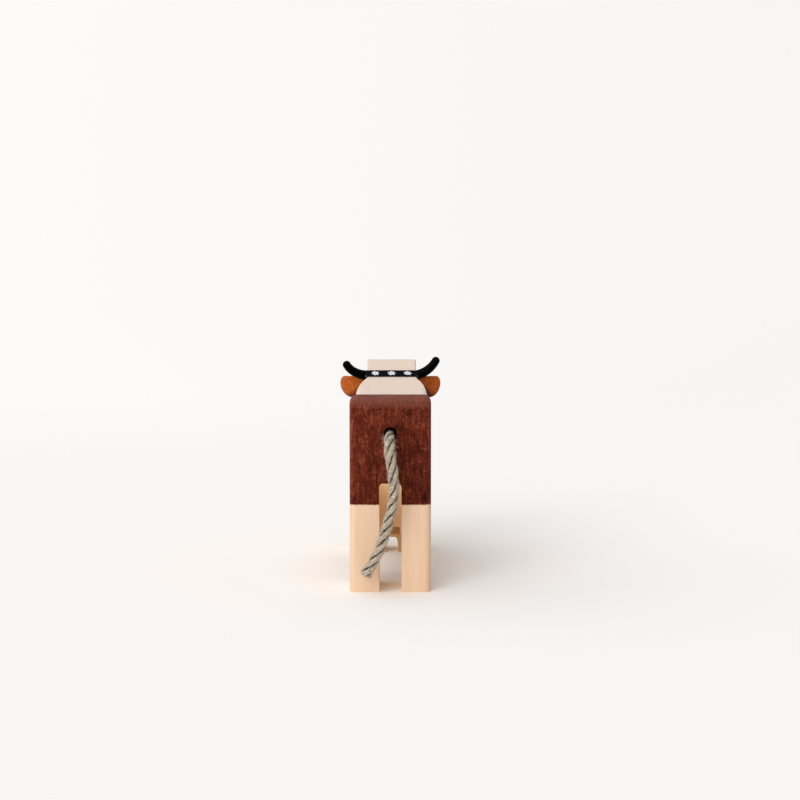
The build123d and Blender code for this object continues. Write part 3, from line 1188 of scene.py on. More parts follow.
@dataclass
class Studio:
    """The camera at the photograph's angle, soft lamps, a pale floor and backdrop."""

    frame_pixels: float = 800.0
    sensor_width: float = 36.0
    focal_pixels: float = 1373.0
    camera_place: Spot = (3.56, -559.75, 106.9)
    camera_down: float = 4.1
    key_place: Spot = (-0.4, -0.82, 0.4)
    key_strength: float = 1.45
    key_spread: float = 44.0
    fill_place: Spot = (-0.5, 0.1, 0.86)
    fill_strength: float = 0.95
    fill_spread: float = 110.0
    ambient: float = 0.5
    ambient_lean: Spot = (-0.16, 0.05, 0.03)
    backdrop_left: str = "#FDFBFA"
    backdrop_right: str = "#F7F5F4"
    backdrop_span: float = 0.3
    floor_tone: str = "#FDFAF7"
    floor_radius: float = 6000.0
    floor_sides: int = 96
    fade_start: float = 260.0
    fade_end: float = 1100.0

    def build(self) -> None:
        """Makes the camera, lamps, floor and world."""
        self.add_camera()
        self.add_lamp("key_lamp", self.key_place, self.key_strength, self.key_spread)
        self.add_lamp("fill_lamp", self.fill_place, self.fill_strength, self.fill_spread)
        self.add_floor()
        self.add_world()
        bpy.context.scene.view_settings.view_transform = "Standard"

    def add_camera(self) -> None:
        """Puts the camera behind the cow, a little above its back, looking slightly down."""
        data = bpy.data.cameras.new("camera")
        data.sensor_width = self.sensor_width
        data.lens = self.focal_pixels * self.sensor_width / self.frame_pixels
        camera = bpy.data.objects.new("camera", data)
        camera.location = Vector(self.camera_place) * MM
        camera.rotation_euler = (radians(90 - self.camera_down), 0, 0)
        bpy.context.scene.collection.objects.link(camera)
        bpy.context.scene.camera = camera

    def add_lamp(self, name: str, direction: Spot, strength: float, spread: float) -> None:
        """Adds a broad soft lamp that shines from a direction.

        Args:
            name: The lamp's name.
            direction: Where the light comes from.
            strength: Its strength.
            spread: How wide it looks from the cow, in degrees.
        """
        data = bpy.data.lights.new(name, "SUN")
        data.energy = strength
        data.angle = radians(spread)
        lamp = bpy.data.objects.new(name, data)
        lamp.rotation_euler = Vector(direction).to_track_quat("Z", "Y").to_euler()
        bpy.context.scene.collection.objects.link(lamp)

    def backdrop(self, tree: Tree, heading: Socket) -> Socket:
        """The pale backdrop, a little lighter on the lamp's side.

        Args:
            tree: The tree that gets the nodes.
            heading: The direction in which the backdrop lies from the cow.

        Returns:
            The backdrop's colour.
        """
        across = add_node(tree, "SeparateXYZ", (heading,), output="X")
        share = add_node(
            tree,
            "MapRange",
            {"Value": across, "From Min": -self.backdrop_span, "From Max": self.backdrop_span},
        )
        return add_node(
            tree,
            "Mix",
            {0: share, UNDER: linear(self.backdrop_left), OVER: linear(self.backdrop_right)},
            **TINTED,
        )

    def add_floor(self) -> None:
        """Makes the floor, which takes shadows near the cow and fades into the backdrop."""
        material = bpy.data.materials.new("paper_sweep")
        material.use_nodes = True
        tree = material.node_tree
        tree.nodes.clear()
        place = millimetres(tree)
        away = add_node(tree, "VectorMath", (place,), output="Value", operation="LENGTH")
        fade = add_node(
            tree,
            "MapRange",
            {"Value": away, "From Min": self.fade_start, "From Max": self.fade_end},
            interpolation_type="SMOOTHSTEP",
        )
        heading = add_node(tree, "VectorMath", (place,), operation="NORMALIZE")
        paper = add_node(tree, "BsdfDiffuse", {"Color": linear(self.floor_tone)})
        glow = add_node(tree, "Emission", {"Color": self.backdrop(tree, heading)})
        mixed = add_node(tree, "MixShader", (fade, paper, glow))
        add_node(tree, "OutputMaterial", {"Surface": mixed})
        rim = [
            Vector((cos(turn), sin(turn), 0)) * self.floor_radius * MM
            for turn in (FULL_TURN * side / self.floor_sides for side in range(self.floor_sides))
        ]
        floor = make_piece("floor", rim, [tuple(range(self.floor_sides))], material)

    def add_world(self) -> None:
        """Shows the pale backdrop to the camera and in reflections, and lights the cow evenly."""
        world = bpy.data.worlds.new("studio")
        bpy.context.scene.world = world
        world.use_nodes = True
        tree = world.node_tree
        tree.nodes.clear()
        shown = add_node(tree, "LightPath", output="Is Camera Ray")
        for ray in ("Is Glossy Ray", "Is Transmission Ray"):
            other = add_node(tree, "LightPath", output=ray)
            shown = add_node(tree, "Math", (shown, other), operation="MAXIMUM")
        heading = add_node(tree, "TexCoord", output="Generated")
        level = add_node(
            tree, "VectorMath", (heading, self.ambient_lean), output="Value", operation="DOT_PRODUCT"
        )
        level = add_node(tree, "Math", (level, self.ambient), operation="ADD")
        soft = add_node(tree, "Background", {"Color": (1.0, 1.0, 1.0, 1.0), "Strength": level})
        pale = add_node(tree, "Background", {"Color": self.backdrop(tree, heading), "Strength": 1.0})
        mixed = add_node(tree, "MixShader", (shown, soft, pale))
        add_node(tree, "OutputWorld", {"Surface": mixed})


@dataclass
class TailCord:
    """The tail: a length of three-strand hemp cord with a cut end and stray fibres.

    The route holds the cord's points in metres, from the bottom of its hole to its cut end.
    """

    route: tuple[Spot, ...] = (
        (-0.0002, -0.05495, 0.0583),
        (-0.0004, -0.0626, 0.058),
        (-0.0002, -0.06715, 0.0522),
        (0.0011, -0.06765, 0.0444),
        (0.0017, -0.06695, 0.0366),
        (-0.0001, -0.06635, 0.0289),
        (-0.0024, -0.06615, 0.0212),
        (-0.005, -0.06655, 0.014),
        (-0.0092, -0.06735, 0.008),
    )
    diameter: float = 4.2
    steps_per_span: int = 44
    strands: int = 3
    strand_radius: float = 1.1
    strand_offset: float = 0.88
    squeeze: float = 0.14
    squeeze_end: float = 9.0
    strand_sides: int = 40
    lay_pitch: float = 15.0
    yarns: int = 6
    yarn_relief: float = 0.17
    yarn_pitch: float = 9.5
    yarn_shade: float = 0.8
    crown_start: float = 0.66
    crown_span: float = 0.13
    swell: float = 0.03
    swell_rate: float = 1.9
    swell_shift: float = 2.1
    fuzz: float = 0.07
    fuzz_scales: tuple[Pair, ...] = ((0.9, 3.1), (0.35, 1.2))
    flare_length: float = 5.5
    flare: float = 0.75
    lay_shift: float = 20.0
    hair_radius: float = 0.04
    hair_taper: float = 0.6
    hair_sides: int = 4
    hair_steps: int = 7
    hole_depth: float = 5.4
    hairs: int = 230
    hair_clear: int = 12
    hair_root: float = 0.86
    hair_lift: Pair = (0.18, 0.5)
    hair_lean: float = 0.5
    hair_length: Pair = (1.2, 3.4)
    hair_curl: float = 0.11
    laid_hairs: int = 420
    laid_root: Pair = (0.86, 0.98)
    laid_lift: Pair = (-0.02, 0.14)
    laid_lean: float = 0.7
    laid_length: Pair = (1.0, 2.6)
    laid_curl: float = 0.07
    hole_hairs: int = 12
    hole_steps: int = 30
    hole_root: float = 0.8
    hole_lift: Pair = (0.5, 1.0)
    hole_onward: Pair = (-0.3, 0.6)
    hole_length: Pair = (1.6, 2.6)
    hole_curl: float = 0.16
    tip_hairs: int = 150
    tip_steps: int = 8
    tip_root: Pair = (0.15, 0.95)
    tip_lift: float = 0.55
    tip_length: Pair = (0.6, 1.9)
    tip_curl: float = 0.1
    seed: int = 11

    def centreline(self) -> Line:
        """Reads the cord's middle from a smooth spline through its route.

        Returns:
            The points, from the bottom of the hole to the cut end.
        """
        curve = bpy.data.curves.new("tail_route", "CURVE")
        curve.dimensions = "3D"
        curve.resolution_u = self.steps_per_span
        spline = curve.splines.new("NURBS")
        spline.points.add(len(self.route) - 1)
        for point, place in zip(spline.points, self.route):
            point.co = (*place, 1.0)
        spline.order_u = 3
        spline.use_endpoint_u = True
        holder = bpy.data.objects.new("tail_route", curve)
        mesh = bpy.data.meshes.new_from_object(holder)
        line = [vertex.co.copy() for vertex in mesh.vertices]
        bpy.data.meshes.remove(mesh)
        bpy.data.objects.remove(holder)
        bpy.data.curves.remove(curve)
        return line

    def reach(self, line: Line) -> list[float]:
        """The distance along a line to each of its points, in millimetres.

        Args:
            line: The line's points, in metres.

        Returns:
            One distance for each point.
        """
        gone = [0.0]
        for before, after in zip(line, line[1:]):
            gone.append(gone[-1] + (after - before).length / MM)
        return gone

    def rope(self, line: Line) -> tuple[Line, Faces, list, list[float]]:
        """The three strands, each with its spun yarns in relief.

        Args:
            line: The cord's middle.

        Returns:
            Vertices, faces, a texture place for each face corner, and how far out each vertex is, which sets
            the valleys' dust and painted shade.
        """
        gone = self.reach(line)
        total = gone[-1]
        frames = carried_frames(line)
        points, faces, uvs, crowns = [], [], [], []
        rng = random.Random(self.seed)
        for strand in range(self.strands):
            first = len(points)
            drift = rng.uniform(0, FULL_TURN)
            for at, (middle, (right, up)) in enumerate(zip(line, frames)):
                turn = FULL_TURN * (strand / self.strands + gone[at] / self.lay_pitch)
                opened = max(0.0, 1 - (total - gone[at]) / self.flare_length)
                held = 1 - self.squeeze * max(0.0, 1 - gone[at] / self.squeeze_end) ** 0.5
                offset = self.strand_offset * (1 + self.flare * opened**2) * held
                out = right * cos(turn) + up * sin(turn)
                side_way = up * cos(turn) - right * sin(turn)
                centre = middle + out * offset * MM
                twist = turn - FULL_TURN * gone[at] / self.yarn_pitch + drift
                swell = sin(gone[at] * self.swell_rate + strand * self.swell_shift)
                full = self.strand_radius * (1 + self.swell * swell) * held
                for side in range(self.strand_sides):
                    angle = FULL_TURN * side / self.strand_sides
                    ridge = abs(cos((angle + twist) * self.yarns / 2))
                    radius = full - self.yarn_relief * (1 - ridge) ** 2
                    reach = out * cos(angle) + side_way * sin(angle)
                    fuzz = sum(
                        noise.noise(centre / MM * down + reach * about)
                        for down, about in self.fuzz_scales
                    )
                    spot = centre + reach * (radius + fuzz * self.fuzz) * MM
                    points.append(spot)
                    far = (spot - middle).length / MM / (self.strand_offset + self.strand_radius) / held
                    # Low values in the valleys between strands and yarns give them dust and painted shade
                    crown = (far - self.crown_start) / self.crown_span
                    crown -= self.yarn_shade * (1 - ridge) ** 3
                    crowns.append(min(1.0, max(0.0, crown)))
            sides = self.strand_sides
            for at in range(len(line) - 1):
                for side in range(sides):
                    beside = (side + 1) % sides
                    here, there = first + at * sides, first + (at + 1) * sides
                    faces.append((here + side, here + beside, there + beside, there + side))
                    for ring, step in ((at, side), (at, side + 1), (at + 1, side + 1), (at + 1, side)):
                        angle = FULL_TURN * step / sides
                        lean = gone[ring] * FULL_TURN * (1 / self.lay_pitch - 1 / self.yarn_pitch)
                        round_way = (angle + lean) * self.strand_radius + strand * self.lay_shift
                        uvs.append((round_way, gone[ring]))
            for ring, flip in ((0, -1), (len(line) - 1, 1)):
                faces.append(tuple(first + ring * sides + side for side in range(sides))[::flip])
                turns = [FULL_TURN * side / sides for side in range(sides)]
                uvs += [(cos(turn), sin(turn)) for turn in turns]
        return points, faces, uvs, crowns

    def hair(self, rng: random.Random, root: Vector, way: Vector, length: float, curl: float) -> Mesh:
        """One thin curved fibre.

        Args:
            rng: The source of its small turns.
            root: Where it starts.
            way: The direction that it starts in.
            length: Its length in millimetres.
            curl: How much it bends at each step.

        Returns:
            Its vertices and faces.
        """
        line = [root]
        heading = way.normalized()
        bend = Vector([rng.uniform(-1, 1) for axis in range(3)])
        for step in range(self.hair_steps):
            line.append(line[-1] + heading * (length / self.hair_steps) * MM)
            bend += Vector([rng.uniform(-0.5, 0.5) for axis in range(3)])
            heading = (heading + bend * curl).normalized()
        radii = [
            self.hair_radius * MM * (1 - self.hair_taper * at / self.hair_steps)
            for at in range(self.hair_steps + 1)
        ]
        return tube(line, radii, self.hair_sides)

    def fibres(self, line: Line) -> Mesh:
        """Stray fibres along the cord, more of them at its cut end and at the hole.

        Args:
            line: The cord's middle.

        Returns:
            The vertices and faces of all the fibres.
        """
        rng = random.Random(self.seed + 1)
        gone = self.reach(line)
        frames = carried_frames(line)
        radius = self.diameter / 2
        out_of_hole = next(at for at, far in enumerate(gone) if far > self.hole_depth)
        parts = []

        def rooted(at: int, inward: float) -> tuple[Vector, Vector, Vector]:
            """A point by the surface, with the ways out of the cord and on along it.

            Args:
                at: The step of the line that it is at.
                inward: Its distance from the cord's middle, as a share of the radius.

            Returns:
                The point, the way out and the way on.
            """
            right, up = frames[at]
            turn = rng.uniform(0, FULL_TURN)
            out = right * cos(turn) + up * sin(turn)
            onward = (line[min(at + 1, len(line) - 1)] - line[at - 1]).normalized()
            return line[at] + out * radius * inward * MM, out, onward

        for number in range(self.hairs):
            at = rng.randrange(out_of_hole + self.hair_clear, len(line) - 2)
            root, out, onward = rooted(at, self.hair_root)
            way = onward * rng.choice((-1, 1)) + out * rng.uniform(*self.hair_lift)
            way += out.cross(onward) * rng.uniform(-self.hair_lean, self.hair_lean)
            parts.append(self.hair(rng, root, way, rng.uniform(*self.hair_length), self.hair_curl))
        for number in range(self.laid_hairs):
            at = rng.randrange(out_of_hole, len(line) - 2)
            root, out, onward = rooted(at, rng.uniform(*self.laid_root))
            way = onward * rng.choice((-1, 1)) + out * rng.uniform(*self.laid_lift)
            way += out.cross(onward) * rng.uniform(-self.laid_lean, self.laid_lean)
            parts.append(self.hair(rng, root, way, rng.uniform(*self.laid_length), self.laid_curl))
        for number in range(self.hole_hairs):
            root, out, onward = rooted(out_of_hole + rng.randrange(self.hole_steps), self.hole_root)
            way = out * rng.uniform(*self.hole_lift) + onward * rng.uniform(*self.hole_onward)
            parts.append(self.hair(rng, root, way, rng.uniform(*self.hole_length), self.hole_curl))
        for number in range(self.tip_hairs):
            at = len(line) - 1 - rng.randrange(self.tip_steps)
            root, out, onward = rooted(at, rng.uniform(*self.tip_root))
            way = onward + out * rng.uniform(0.0, self.tip_lift)
            parts.append(self.hair(rng, root, way, rng.uniform(*self.tip_length), self.tip_curl))
        return joined(parts)

    def build(self) -> list[Piece]:
        """Returns:
            The cord and its fibres.
        """
        line = self.centreline()
        points, faces, uvs, crowns = self.rope(line)
        cord = make_piece("tail_rope", points, faces, LaidHemp().material(), uvs)
        shade = cord.data.attributes.new("crown", "FLOAT", "POINT")
        for value, crown in zip(shade.data, crowns):
            value.value = crown
        hair_points, hair_faces = self.fibres(line)
        fibres = make_piece("tail_fibres", hair_points, hair_faces, HempFibre().material())
        hang_on(cord, Body.COW, Slot.HEMP, "tail_cord")
        hang_on(fibres, Body.COW, Slot.HEMP)
        self.reach(line)[-1] * MM
        return [cord, fibres]


@dataclass
class WoodenCow:
    """The sawn wooden body, with its painted eyes, nostrils and mouth."""

    half_head: float = 10.4
    eye_place: Pair = (39.6, 68.2)
    eye_radius: float = 1.5
    eye_rise: float = 0.85
    nostril_place: Pair = (56.4, 58.4)
    nostril_radius: float = 0.75
    nostril_rise: float = 0.16
    mouth: tuple[Pair, ...] = ((58.6, 52.9), (56.2, 52.2), (53.4, 52.3), (50.6, 53.6))
    mouth_width: float = 0.3
    mouth_end: float = 0.35
    mouth_steps: int = 8
    mouth_sides: int = 12
    dab_tall: float = 1.06
    dab_rings: int = 8
    dab_sides: int = 32

    def dab(self, place: Pair, radius: float, rise: float, side: int) -> Mesh:
        """A low round mound of paint on one cheek.

        Args:
            place: Its middle, along the cow and up.
            radius: Its radius.
            rise: How far it stands off the wood.
            side: 1 for the right cheek and -1 for the left.

        Returns:
            Its vertices and faces.
        """
        points = []
        for ring in range(self.dab_rings + 1):
            share = ring / self.dab_rings
            reach = radius * cos(share * QUARTER_TURN)
            for step in range(self.dab_sides):
                turn = FULL_TURN * step / self.dab_sides
                x = side * (self.half_head + rise * sin(share * QUARTER_TURN))
                y = place[0] + cos(turn) * reach
                z = place[1] + sin(turn) * reach * self.dab_tall
                points.append(Vector((x, y, z)) * MM)
        return points, wrapped(self.dab_rings + 1, self.dab_sides, side)

    def mouth_line(self, side: int) -> Mesh:
        """A fine line of paint for the mouth on one cheek.

        Args:
            side: 1 for the right cheek and -1 for the left.

        Returns:
            Its vertices and faces.
        """
        line = [Vector((side * self.half_head, y, z)) * MM for y, z in self.mouth]
        smooth = []
        for before, start, end, after in zip(
            [line[0], *line], line, line[1:], [*line[2:], line[-1]]
        ):
            for step in range(self.mouth_steps):
                share = step / self.mouth_steps
                bend = (end - before) * 0.5, (after - start) * 0.5
                smooth.append(
                    start * (2 * share**3 - 3 * share**2 + 1)
                    + bend[0] * (share**3 - 2 * share**2 + share)
                    + end * (3 * share**2 - 2 * share**3)
                    + bend[1] * (share**3 - share**2)
                )
        smooth.append(line[-1])
        radii = []
        for at in range(len(smooth)):
            full = sin(pi * (at + 0.5) / len(smooth))
            radii.append(self.mouth_width / 2 * MM * (self.mouth_end + (1 - self.mouth_end) * full))
        return tube(smooth, radii, self.mouth_sides)

    def build(self, nodes: dict[str, Piece]) -> list[Piece]:
        """Dresses the carved body and paints the face.

        Args:
            nodes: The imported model's nodes.

        Returns:
            The dressed and added pieces.
        """
        body = nodes["wooden_body"]
        body.data.materials.clear()
        body.data.materials.append(StainedLimewood().material())
        enamel = EyeEnamel().material()
        sides = (-1, 1)
        eye = (self.eye_place, self.eye_radius, self.eye_rise)
        nostril = (self.nostril_place, self.nostril_radius, self.nostril_rise)
        eyes = make_piece("painted_eyes", *joined([self.dab(*eye, side) for side in sides]), enamel)
        parts = [self.dab(*nostril, side) for side in sides]
        parts += [self.mouth_line(side) for side in sides]
        muzzle_paint = EyeEnamel(name="muzzle_paint_brushed", colour="#4A2418", roughness=0.5)
        muzzle = make_piece("painted_muzzle", *joined(parts), muzzle_paint.material())
        for piece in (eyes, muzzle):
            hang_on(piece, Body.COW, Slot.WOOD)
        return [body, eyes, muzzle]


@dataclass
class Horns:
    """The two horns, which curve up out of the cheeks, and whose left one is turned back."""

    half_head: float = 10.4
    root_place: Pair = (29.09, 75.4)
    right_rise: float = 12.0
    right_curve: float = 12.88
    right_sweep: float = 48.2
    left_curve: float = 9.6
    left_sweep: float = 66.0
    left_turn: float = 36.0
    root_radius: float = 2.08
    tip_radius: float = 1.72
    tip_share: float = 0.98
    stations: int = 44
    tip_stations: int = 10
    sides: int = 40

    def horn(self, rise: float, curve: float, sweep: float, turn: float) -> Mesh:
        """A right horn as a smooth tapering tube with a rounded tip.

        Args:
            rise: How steeply it leaves the cheek, in degrees.
            curve: The radius of its curve.
            sweep: How many degrees its curve turns through.
            turn: How far it is turned in its socket, in degrees.

        Returns:
            Its vertices and faces.
        """
        line, radii = [], []
        root = Vector((self.half_head, *self.root_place))
        spin = Matrix.Rotation(radians(turn), 3, "X")
        first = radians(rise)
        for station in range(self.stations + 1):
            share = station / self.stations
            angle = first + radians(sweep * share)
            run, lift = sin(angle) - sin(first), cos(first) - cos(angle)
            line.append(Vector((run, 0, lift)) * curve)
            radii.append(self.root_radius + (self.tip_radius - self.root_radius) * share)
        along = Vector((cos(angle), 0, sin(angle)))
        end = line[-1]
        for station in range(1, self.tip_stations + 1):
            angle = QUARTER_TURN * station / self.tip_stations * self.tip_share
            line.append(end + along * self.tip_radius * sin(angle))
            radii.append(self.tip_radius * cos(angle))
        placed = [(root + spin @ point) * MM for point in line]
        return tube(placed, [radius * MM for radius in radii], self.sides)

    def build(self) -> list[Piece]:
        """Makes both horns.

        Returns:
            The right horn and the left one.
        """
        lacquer = SatinLacquer().material()
        right_horn = self.horn(self.right_rise, self.right_curve, self.right_sweep, 0.0)
        right = make_piece("horn_right", *right_horn, lacquer)
        points, faces = self.horn(0.0, self.left_curve, self.left_sweep, self.left_turn)
        points = [Vector((-point.x, point.y, point.z)) for point in points]
        left = make_piece("horn_left", points, [face[::-1] for face in faces], lacquer)
        hang_on(right, Body.COW, Slot.HORN, "right_horn")
        hang_on(left, Body.COW, Slot.HORN, "left_horn")
        return [right, left]


@dataclass
class Ears:
    """The leather ears: round flaps, cut straight along the top and cupped forwards."""

    half_head: float = 10.4
    reach: float = 22.5
    right_tuck: float = 1.3
    radius: float = 6.0
    thickness: float = 1.3
    top_cut: float = 3.4
    cup_radius: float = 15.0
    middle_height: float = 71.4
    back: float = 31.44
    tab_start: float = 8.8
    tab_end: float = 13.1
    tab_height: float = 2.94
    tab_thickness: float = 1.34
    tab_round: float = 0.25
    tab_steps: int = 4
    notch_gap: float = 0.03
    cheek_gap: float = 0.02
    edge_round: float = 0.45
    edge_steps: int = 8
    rim_points: int = 72
    rim_waves: tuple[tuple[float, int, float], ...] = ((0.012, 5, 0.7), (0.008, 11, 0.0))
    corner_power: float = 0.9
    corner_easing: int = 9
    crease: float = 0.12
    crease_across: float = 1.3
    crease_up: float = 0.9
    crease_start: float = 4.0
    rings: int = 14

    def rim(self) -> Line:
        """The flap's outline.

        Returns:
            Its points in the flap's own flat, from its middle.
        """
        points = []
        for step in range(self.rim_points):
            turn = FULL_TURN * step / self.rim_points
            x, z = cos(turn) * self.radius, sin(turn) * self.radius
            if z > self.top_cut:
                x, z = x * (self.top_cut / z) ** (1 - self.corner_power), self.top_cut
            wobble = 1 + sum(
                depth * sin(turn * waves + start) for depth, waves, start in self.rim_waves
            )
            points.append(Vector((x * wobble, z * wobble)))
        for smoothing in range(self.corner_easing):
            points = [
                (points[at - 1] + points[at] * 2 + points[(at + 1) % len(points)]) / 4
                for at in range(len(points))
            ]
        return points

    def flap(self, side: int) -> Mesh:
        """One ear's two skins and its rounded raw edge.

        Args:
            side: 1 for the right ear and -1 for the left.

        Returns:
            Its vertices and faces.
        """
        middle = self.reach - self.radius
        tuck = self.right_tuck / (self.reach - self.half_head) if side > 0 else 0.0
        outline = self.rim()
        shrink = self.edge_round / self.radius
        layers = [((ring + 1) / self.rings * (1 - shrink), 0.0) for ring in range(self.rings)]
        for step in range(1, self.edge_steps):
            turn = pi * step / self.edge_steps
            layers.append((1 - shrink + sin(turn) * shrink, (1 - cos(turn)) / 2))
        layers += [(share, 1.0) for share, depth in layers[self.rings - 1 :: -1]]
        points = []
        for share, depth in layers:
            for spot in outline:
                x = middle + spot.x * share
                z = self.middle_height + spot.y * share
                x -= max(0.0, x - self.half_head) * tuck
                cup = x - self.half_head
                y = self.back + self.cup_radius - sqrt(self.cup_radius**2 - cup**2)
                crease = sin(x * self.crease_across + 0.5) * sin(z * self.crease_up + side)
                free = min(1.0, max(0.0, cup / self.crease_start))
                y += depth * self.thickness + self.crease * crease * free
                points.append(Vector((side * max(x, self.half_head + self.cheek_gap), y, z)) * MM)
        sizes = (len(layers), len(outline), -side)
        return points, wrapped(*sizes) + ends(*sizes)

    def tab(self, side: int) -> Mesh:
        """The ear's tongue, which is glued into its notch in the cheek.

        Args:
            side: 1 for the right ear and -1 for the left.

        Returns:
            Its vertices and faces.
        """
        middle_y = self.back + self.notch_gap + self.tab_thickness / 2
        middle_z = self.middle_height + self.top_cut - self.notch_gap - self.tab_height / 2
        outline = []
        for corner, (right, top) in enumerate(((1, 1), (-1, 1), (-1, -1), (1, -1))):
            across = right * (self.tab_thickness / 2 - self.tab_round)
            up = top * (self.tab_height / 2 - self.tab_round)
            for step in range(self.tab_steps + 1):
                turn = QUARTER_TURN * (corner + step / self.tab_steps)
                outline.append(
                    (across + cos(turn) * self.tab_round, up + sin(turn) * self.tab_round)
                )
        stations = (self.tab_start, self.half_head, self.tab_end)
        points = [
            Vector((side * x, middle_y + across, middle_z + up)) * MM
            for x in stations
            for across, up in outline
        ]
        sizes = (len(stations), len(outline), side)
        return points, wrapped(*sizes) + ends(*sizes)

    def build(self) -> list[Piece]:
        """Makes both ears.

        Returns:
            The right ear and the left one.
        """
        leather = SplitLeather().material()
        ears = []
        for side, name in ((1, "right_ear"), (-1, "left_ear")):
            ear = make_piece(f"leather_{name}", *joined([self.flap(side), self.tab(side)]), leather)
            ears.append(hang_on(ear, Body.COW, Slot.EAR, name))
        return ears


@dataclass
class RibbonCollar:
    """The ribbon round the neck, with its row of small white flowers.

    Places are along the cow and up. The ribbon's two skins follow a loop with rounded corners,
    tight over the nape and cheeks, and hanging a little off the throat.
    """

    nape: Pair = (22.757, 76.167)
    nape_slope: Pair = (0.8882, 0.4596)
    throat: Pair = (40.802, 48.281)
    chest_slope: Pair = (0.3466, 0.938)
    half_head: float = 10.4
    width: float = 4.8
    thickness: float = 0.5
    slack: float = 3.8
    nape_round: float = 1.0
    throat_round: float = 3.6
    arc_steps: int = 10
    run_steps: int = 44
    outer_shares: tuple[float, ...] = (0.25, 0.5, 0.8, 0.9, 0.97)
    inner_shares: tuple[float, ...] = (0.2, 0.6, 0.97)
    measured_row: int = 5
    inner_gap: float = 0.06
    edge_height: float = 0.3
    selvedge: float = 0.06
    selvedge_start: float = 0.85
    hole_place: Pair = (43.117, 42.862)
    hole_radius: float = 1.05
    hole_sides: int = 40
    punch_reach: float = 3.0
    flowers: int = 17
    flower_radius: float = 1.95
    petals: int = 7
    petal_steps: int = 6
    petal_rise: float = 0.1
    petal_edge: float = 0.35
    petal_turn: float = 0.12
    petal_length: Pair = (0.82, 1.05)
    petal_width: Pair = (0.2, 0.27)
    petal_heart: float = 0.12
    petal_root: float = 0.22
    petal_power: float = 0.8
    seed: int = 3

    def seat_point(
        self,
        seat: Pair,
        slope: Pair,
        outward: Vector,
        offset: float,
        along: float,
    ) -> Vector:
        """Where a line beside the nape or chest crosses a plane square to the neck.

        Args:
            seat: The ribbon's place on the nape or chest.
            slope: The direction of the nape or chest.
            outward: The direction away from the wood.
            offset: The distance from the wood.
            along: The plane's distance along the neck.

        Returns:
            The point, along the cow and up.
        """
        neck = self.neck_way()
        start = Vector(seat) + outward * offset
        step = (along - (start - Vector(self.nape)).dot(neck)) / Vector(slope).dot(neck)
        return start + Vector(slope) * step

    def neck_way(self) -> Vector:
        """The direction along the neck."""
        across = (Vector(self.throat) - Vector(self.nape)).normalized()
        return Vector((-across.y, across.x))

    def loop(self, along: float, offset: float) -> Line:
        """One closed line round the neck.

        Args:
            along: Its distance along the neck from the ribbon's middle.
            offset: Its distance from the wood.

        Returns:
            Its points, in metres, from the middle of the nape to the right and round.
        """
        nape_out = Vector((-self.nape_slope[1], self.nape_slope[0]))
        throat_out = Vector((self.chest_slope[1], -self.chest_slope[0]))
        top = self.seat_point(self.nape, self.nape_slope, nape_out, offset, along)
        low = self.seat_point(self.throat, self.chest_slope, throat_out, self.slack + offset, along)
        half = self.half_head + offset
        drop = (low - top).length
        down = (low - top).normalized()
        corners = [(half, 0.0, self.nape_round), (half, drop, self.throat_round)]
        corners += [(-half, drop, self.throat_round), (-half, 0.0, self.nape_round)]
        flat: Line = []
        start = Vector((0.0, 0.0))
        ways = [Vector((1, 0)), Vector((0, 1)), Vector((-1, 0)), Vector((0, -1))]
        for number, (x, s, rounding) in enumerate(corners):
            way, turned = ways[number], ways[(number + 1) % 4]
            corner = Vector((x, s))
            arc_start = corner - way * rounding
            middle = corner - way * rounding + turned * rounding
            steps = self.run_steps // 2 if number == 0 else self.run_steps
            flat += [start.lerp(arc_start, step / steps) for step in range(steps)]
            for step in range(self.arc_steps):
                angle = QUARTER_TURN * step / self.arc_steps
                flat.append(middle - turned * rounding * cos(angle) + way * rounding * sin(angle))
            start = corner + turned * rounding
        steps = self.run_steps // 2
        flat += [start.lerp(Vector((0.0, 0.0)), step / steps) for step in range(steps)]
        points = []
        for x, s in flat:
            place = top + down * s
            points.append(Vector((x, place.x, place.y)) * MM)
        return points

    def section(self) -> list[Pair]:
        """The ribbon's own section: outer skin, selvedges and lining.

        Returns:
            Pairs of a distance from the ribbon's middle and one from the wood.
        """
        half = self.width / 2
        outer = (*(-share for share in self.outer_shares[::-1]), 0.0, *self.outer_shares)
        inner = (*self.inner_shares[::-1], *(-share for share in self.inner_shares))
        skin = [
            (half * share, self.thickness + (self.selvedge if abs(share) > self.selvedge_start else 0.0))
            for share in outer
        ]
        lining = [(half * share, self.inner_gap) for share in inner]
        return [(-half, self.edge_height), *skin, (half, self.edge_height), *lining]

    def lengths(self, loop: Line) -> list[float]:
        """The way round a loop to each of its points and back to the first, in millimetres.

        Args:
            loop: The loop's points.

        Returns:
            One distance for each point, and the whole way round.
        """
        gone = [0.0]
        for before, after in zip(loop, loop[1:] + loop[:1]):
            gone.append(gone[-1] + (after - before).length / MM)
        return gone

    def band(self) -> tuple[Line, Faces, list]:
        """The ribbon's mesh.

        Returns:
            Vertices, faces, and a texture place in millimetres for each face corner.
        """
        section = self.section()
        loops = [self.loop(along, offset) for along, offset in section]
        count = len(loops[0])
        gone = self.lengths(loops[self.measured_row])
        points = [loops[row][at] for at in range(count) for row in range(len(section))]
        faces, uvs = [], []
        rows = len(section)
        for at in range(count):
            there = (at + 1) % count
            for row in range(rows):
                below = (row + 1) % rows
                faces.append((at * rows + row, there * rows + row, there * rows + below, at * rows + below))
                uvs += [
                    (gone[at], section[row][0]),
                    (gone[at + 1], section[row][0]),
                    (gone[at + 1], section[below][0]),
                    (gone[at], section[below][0]),
                ]
        return points, faces, uvs

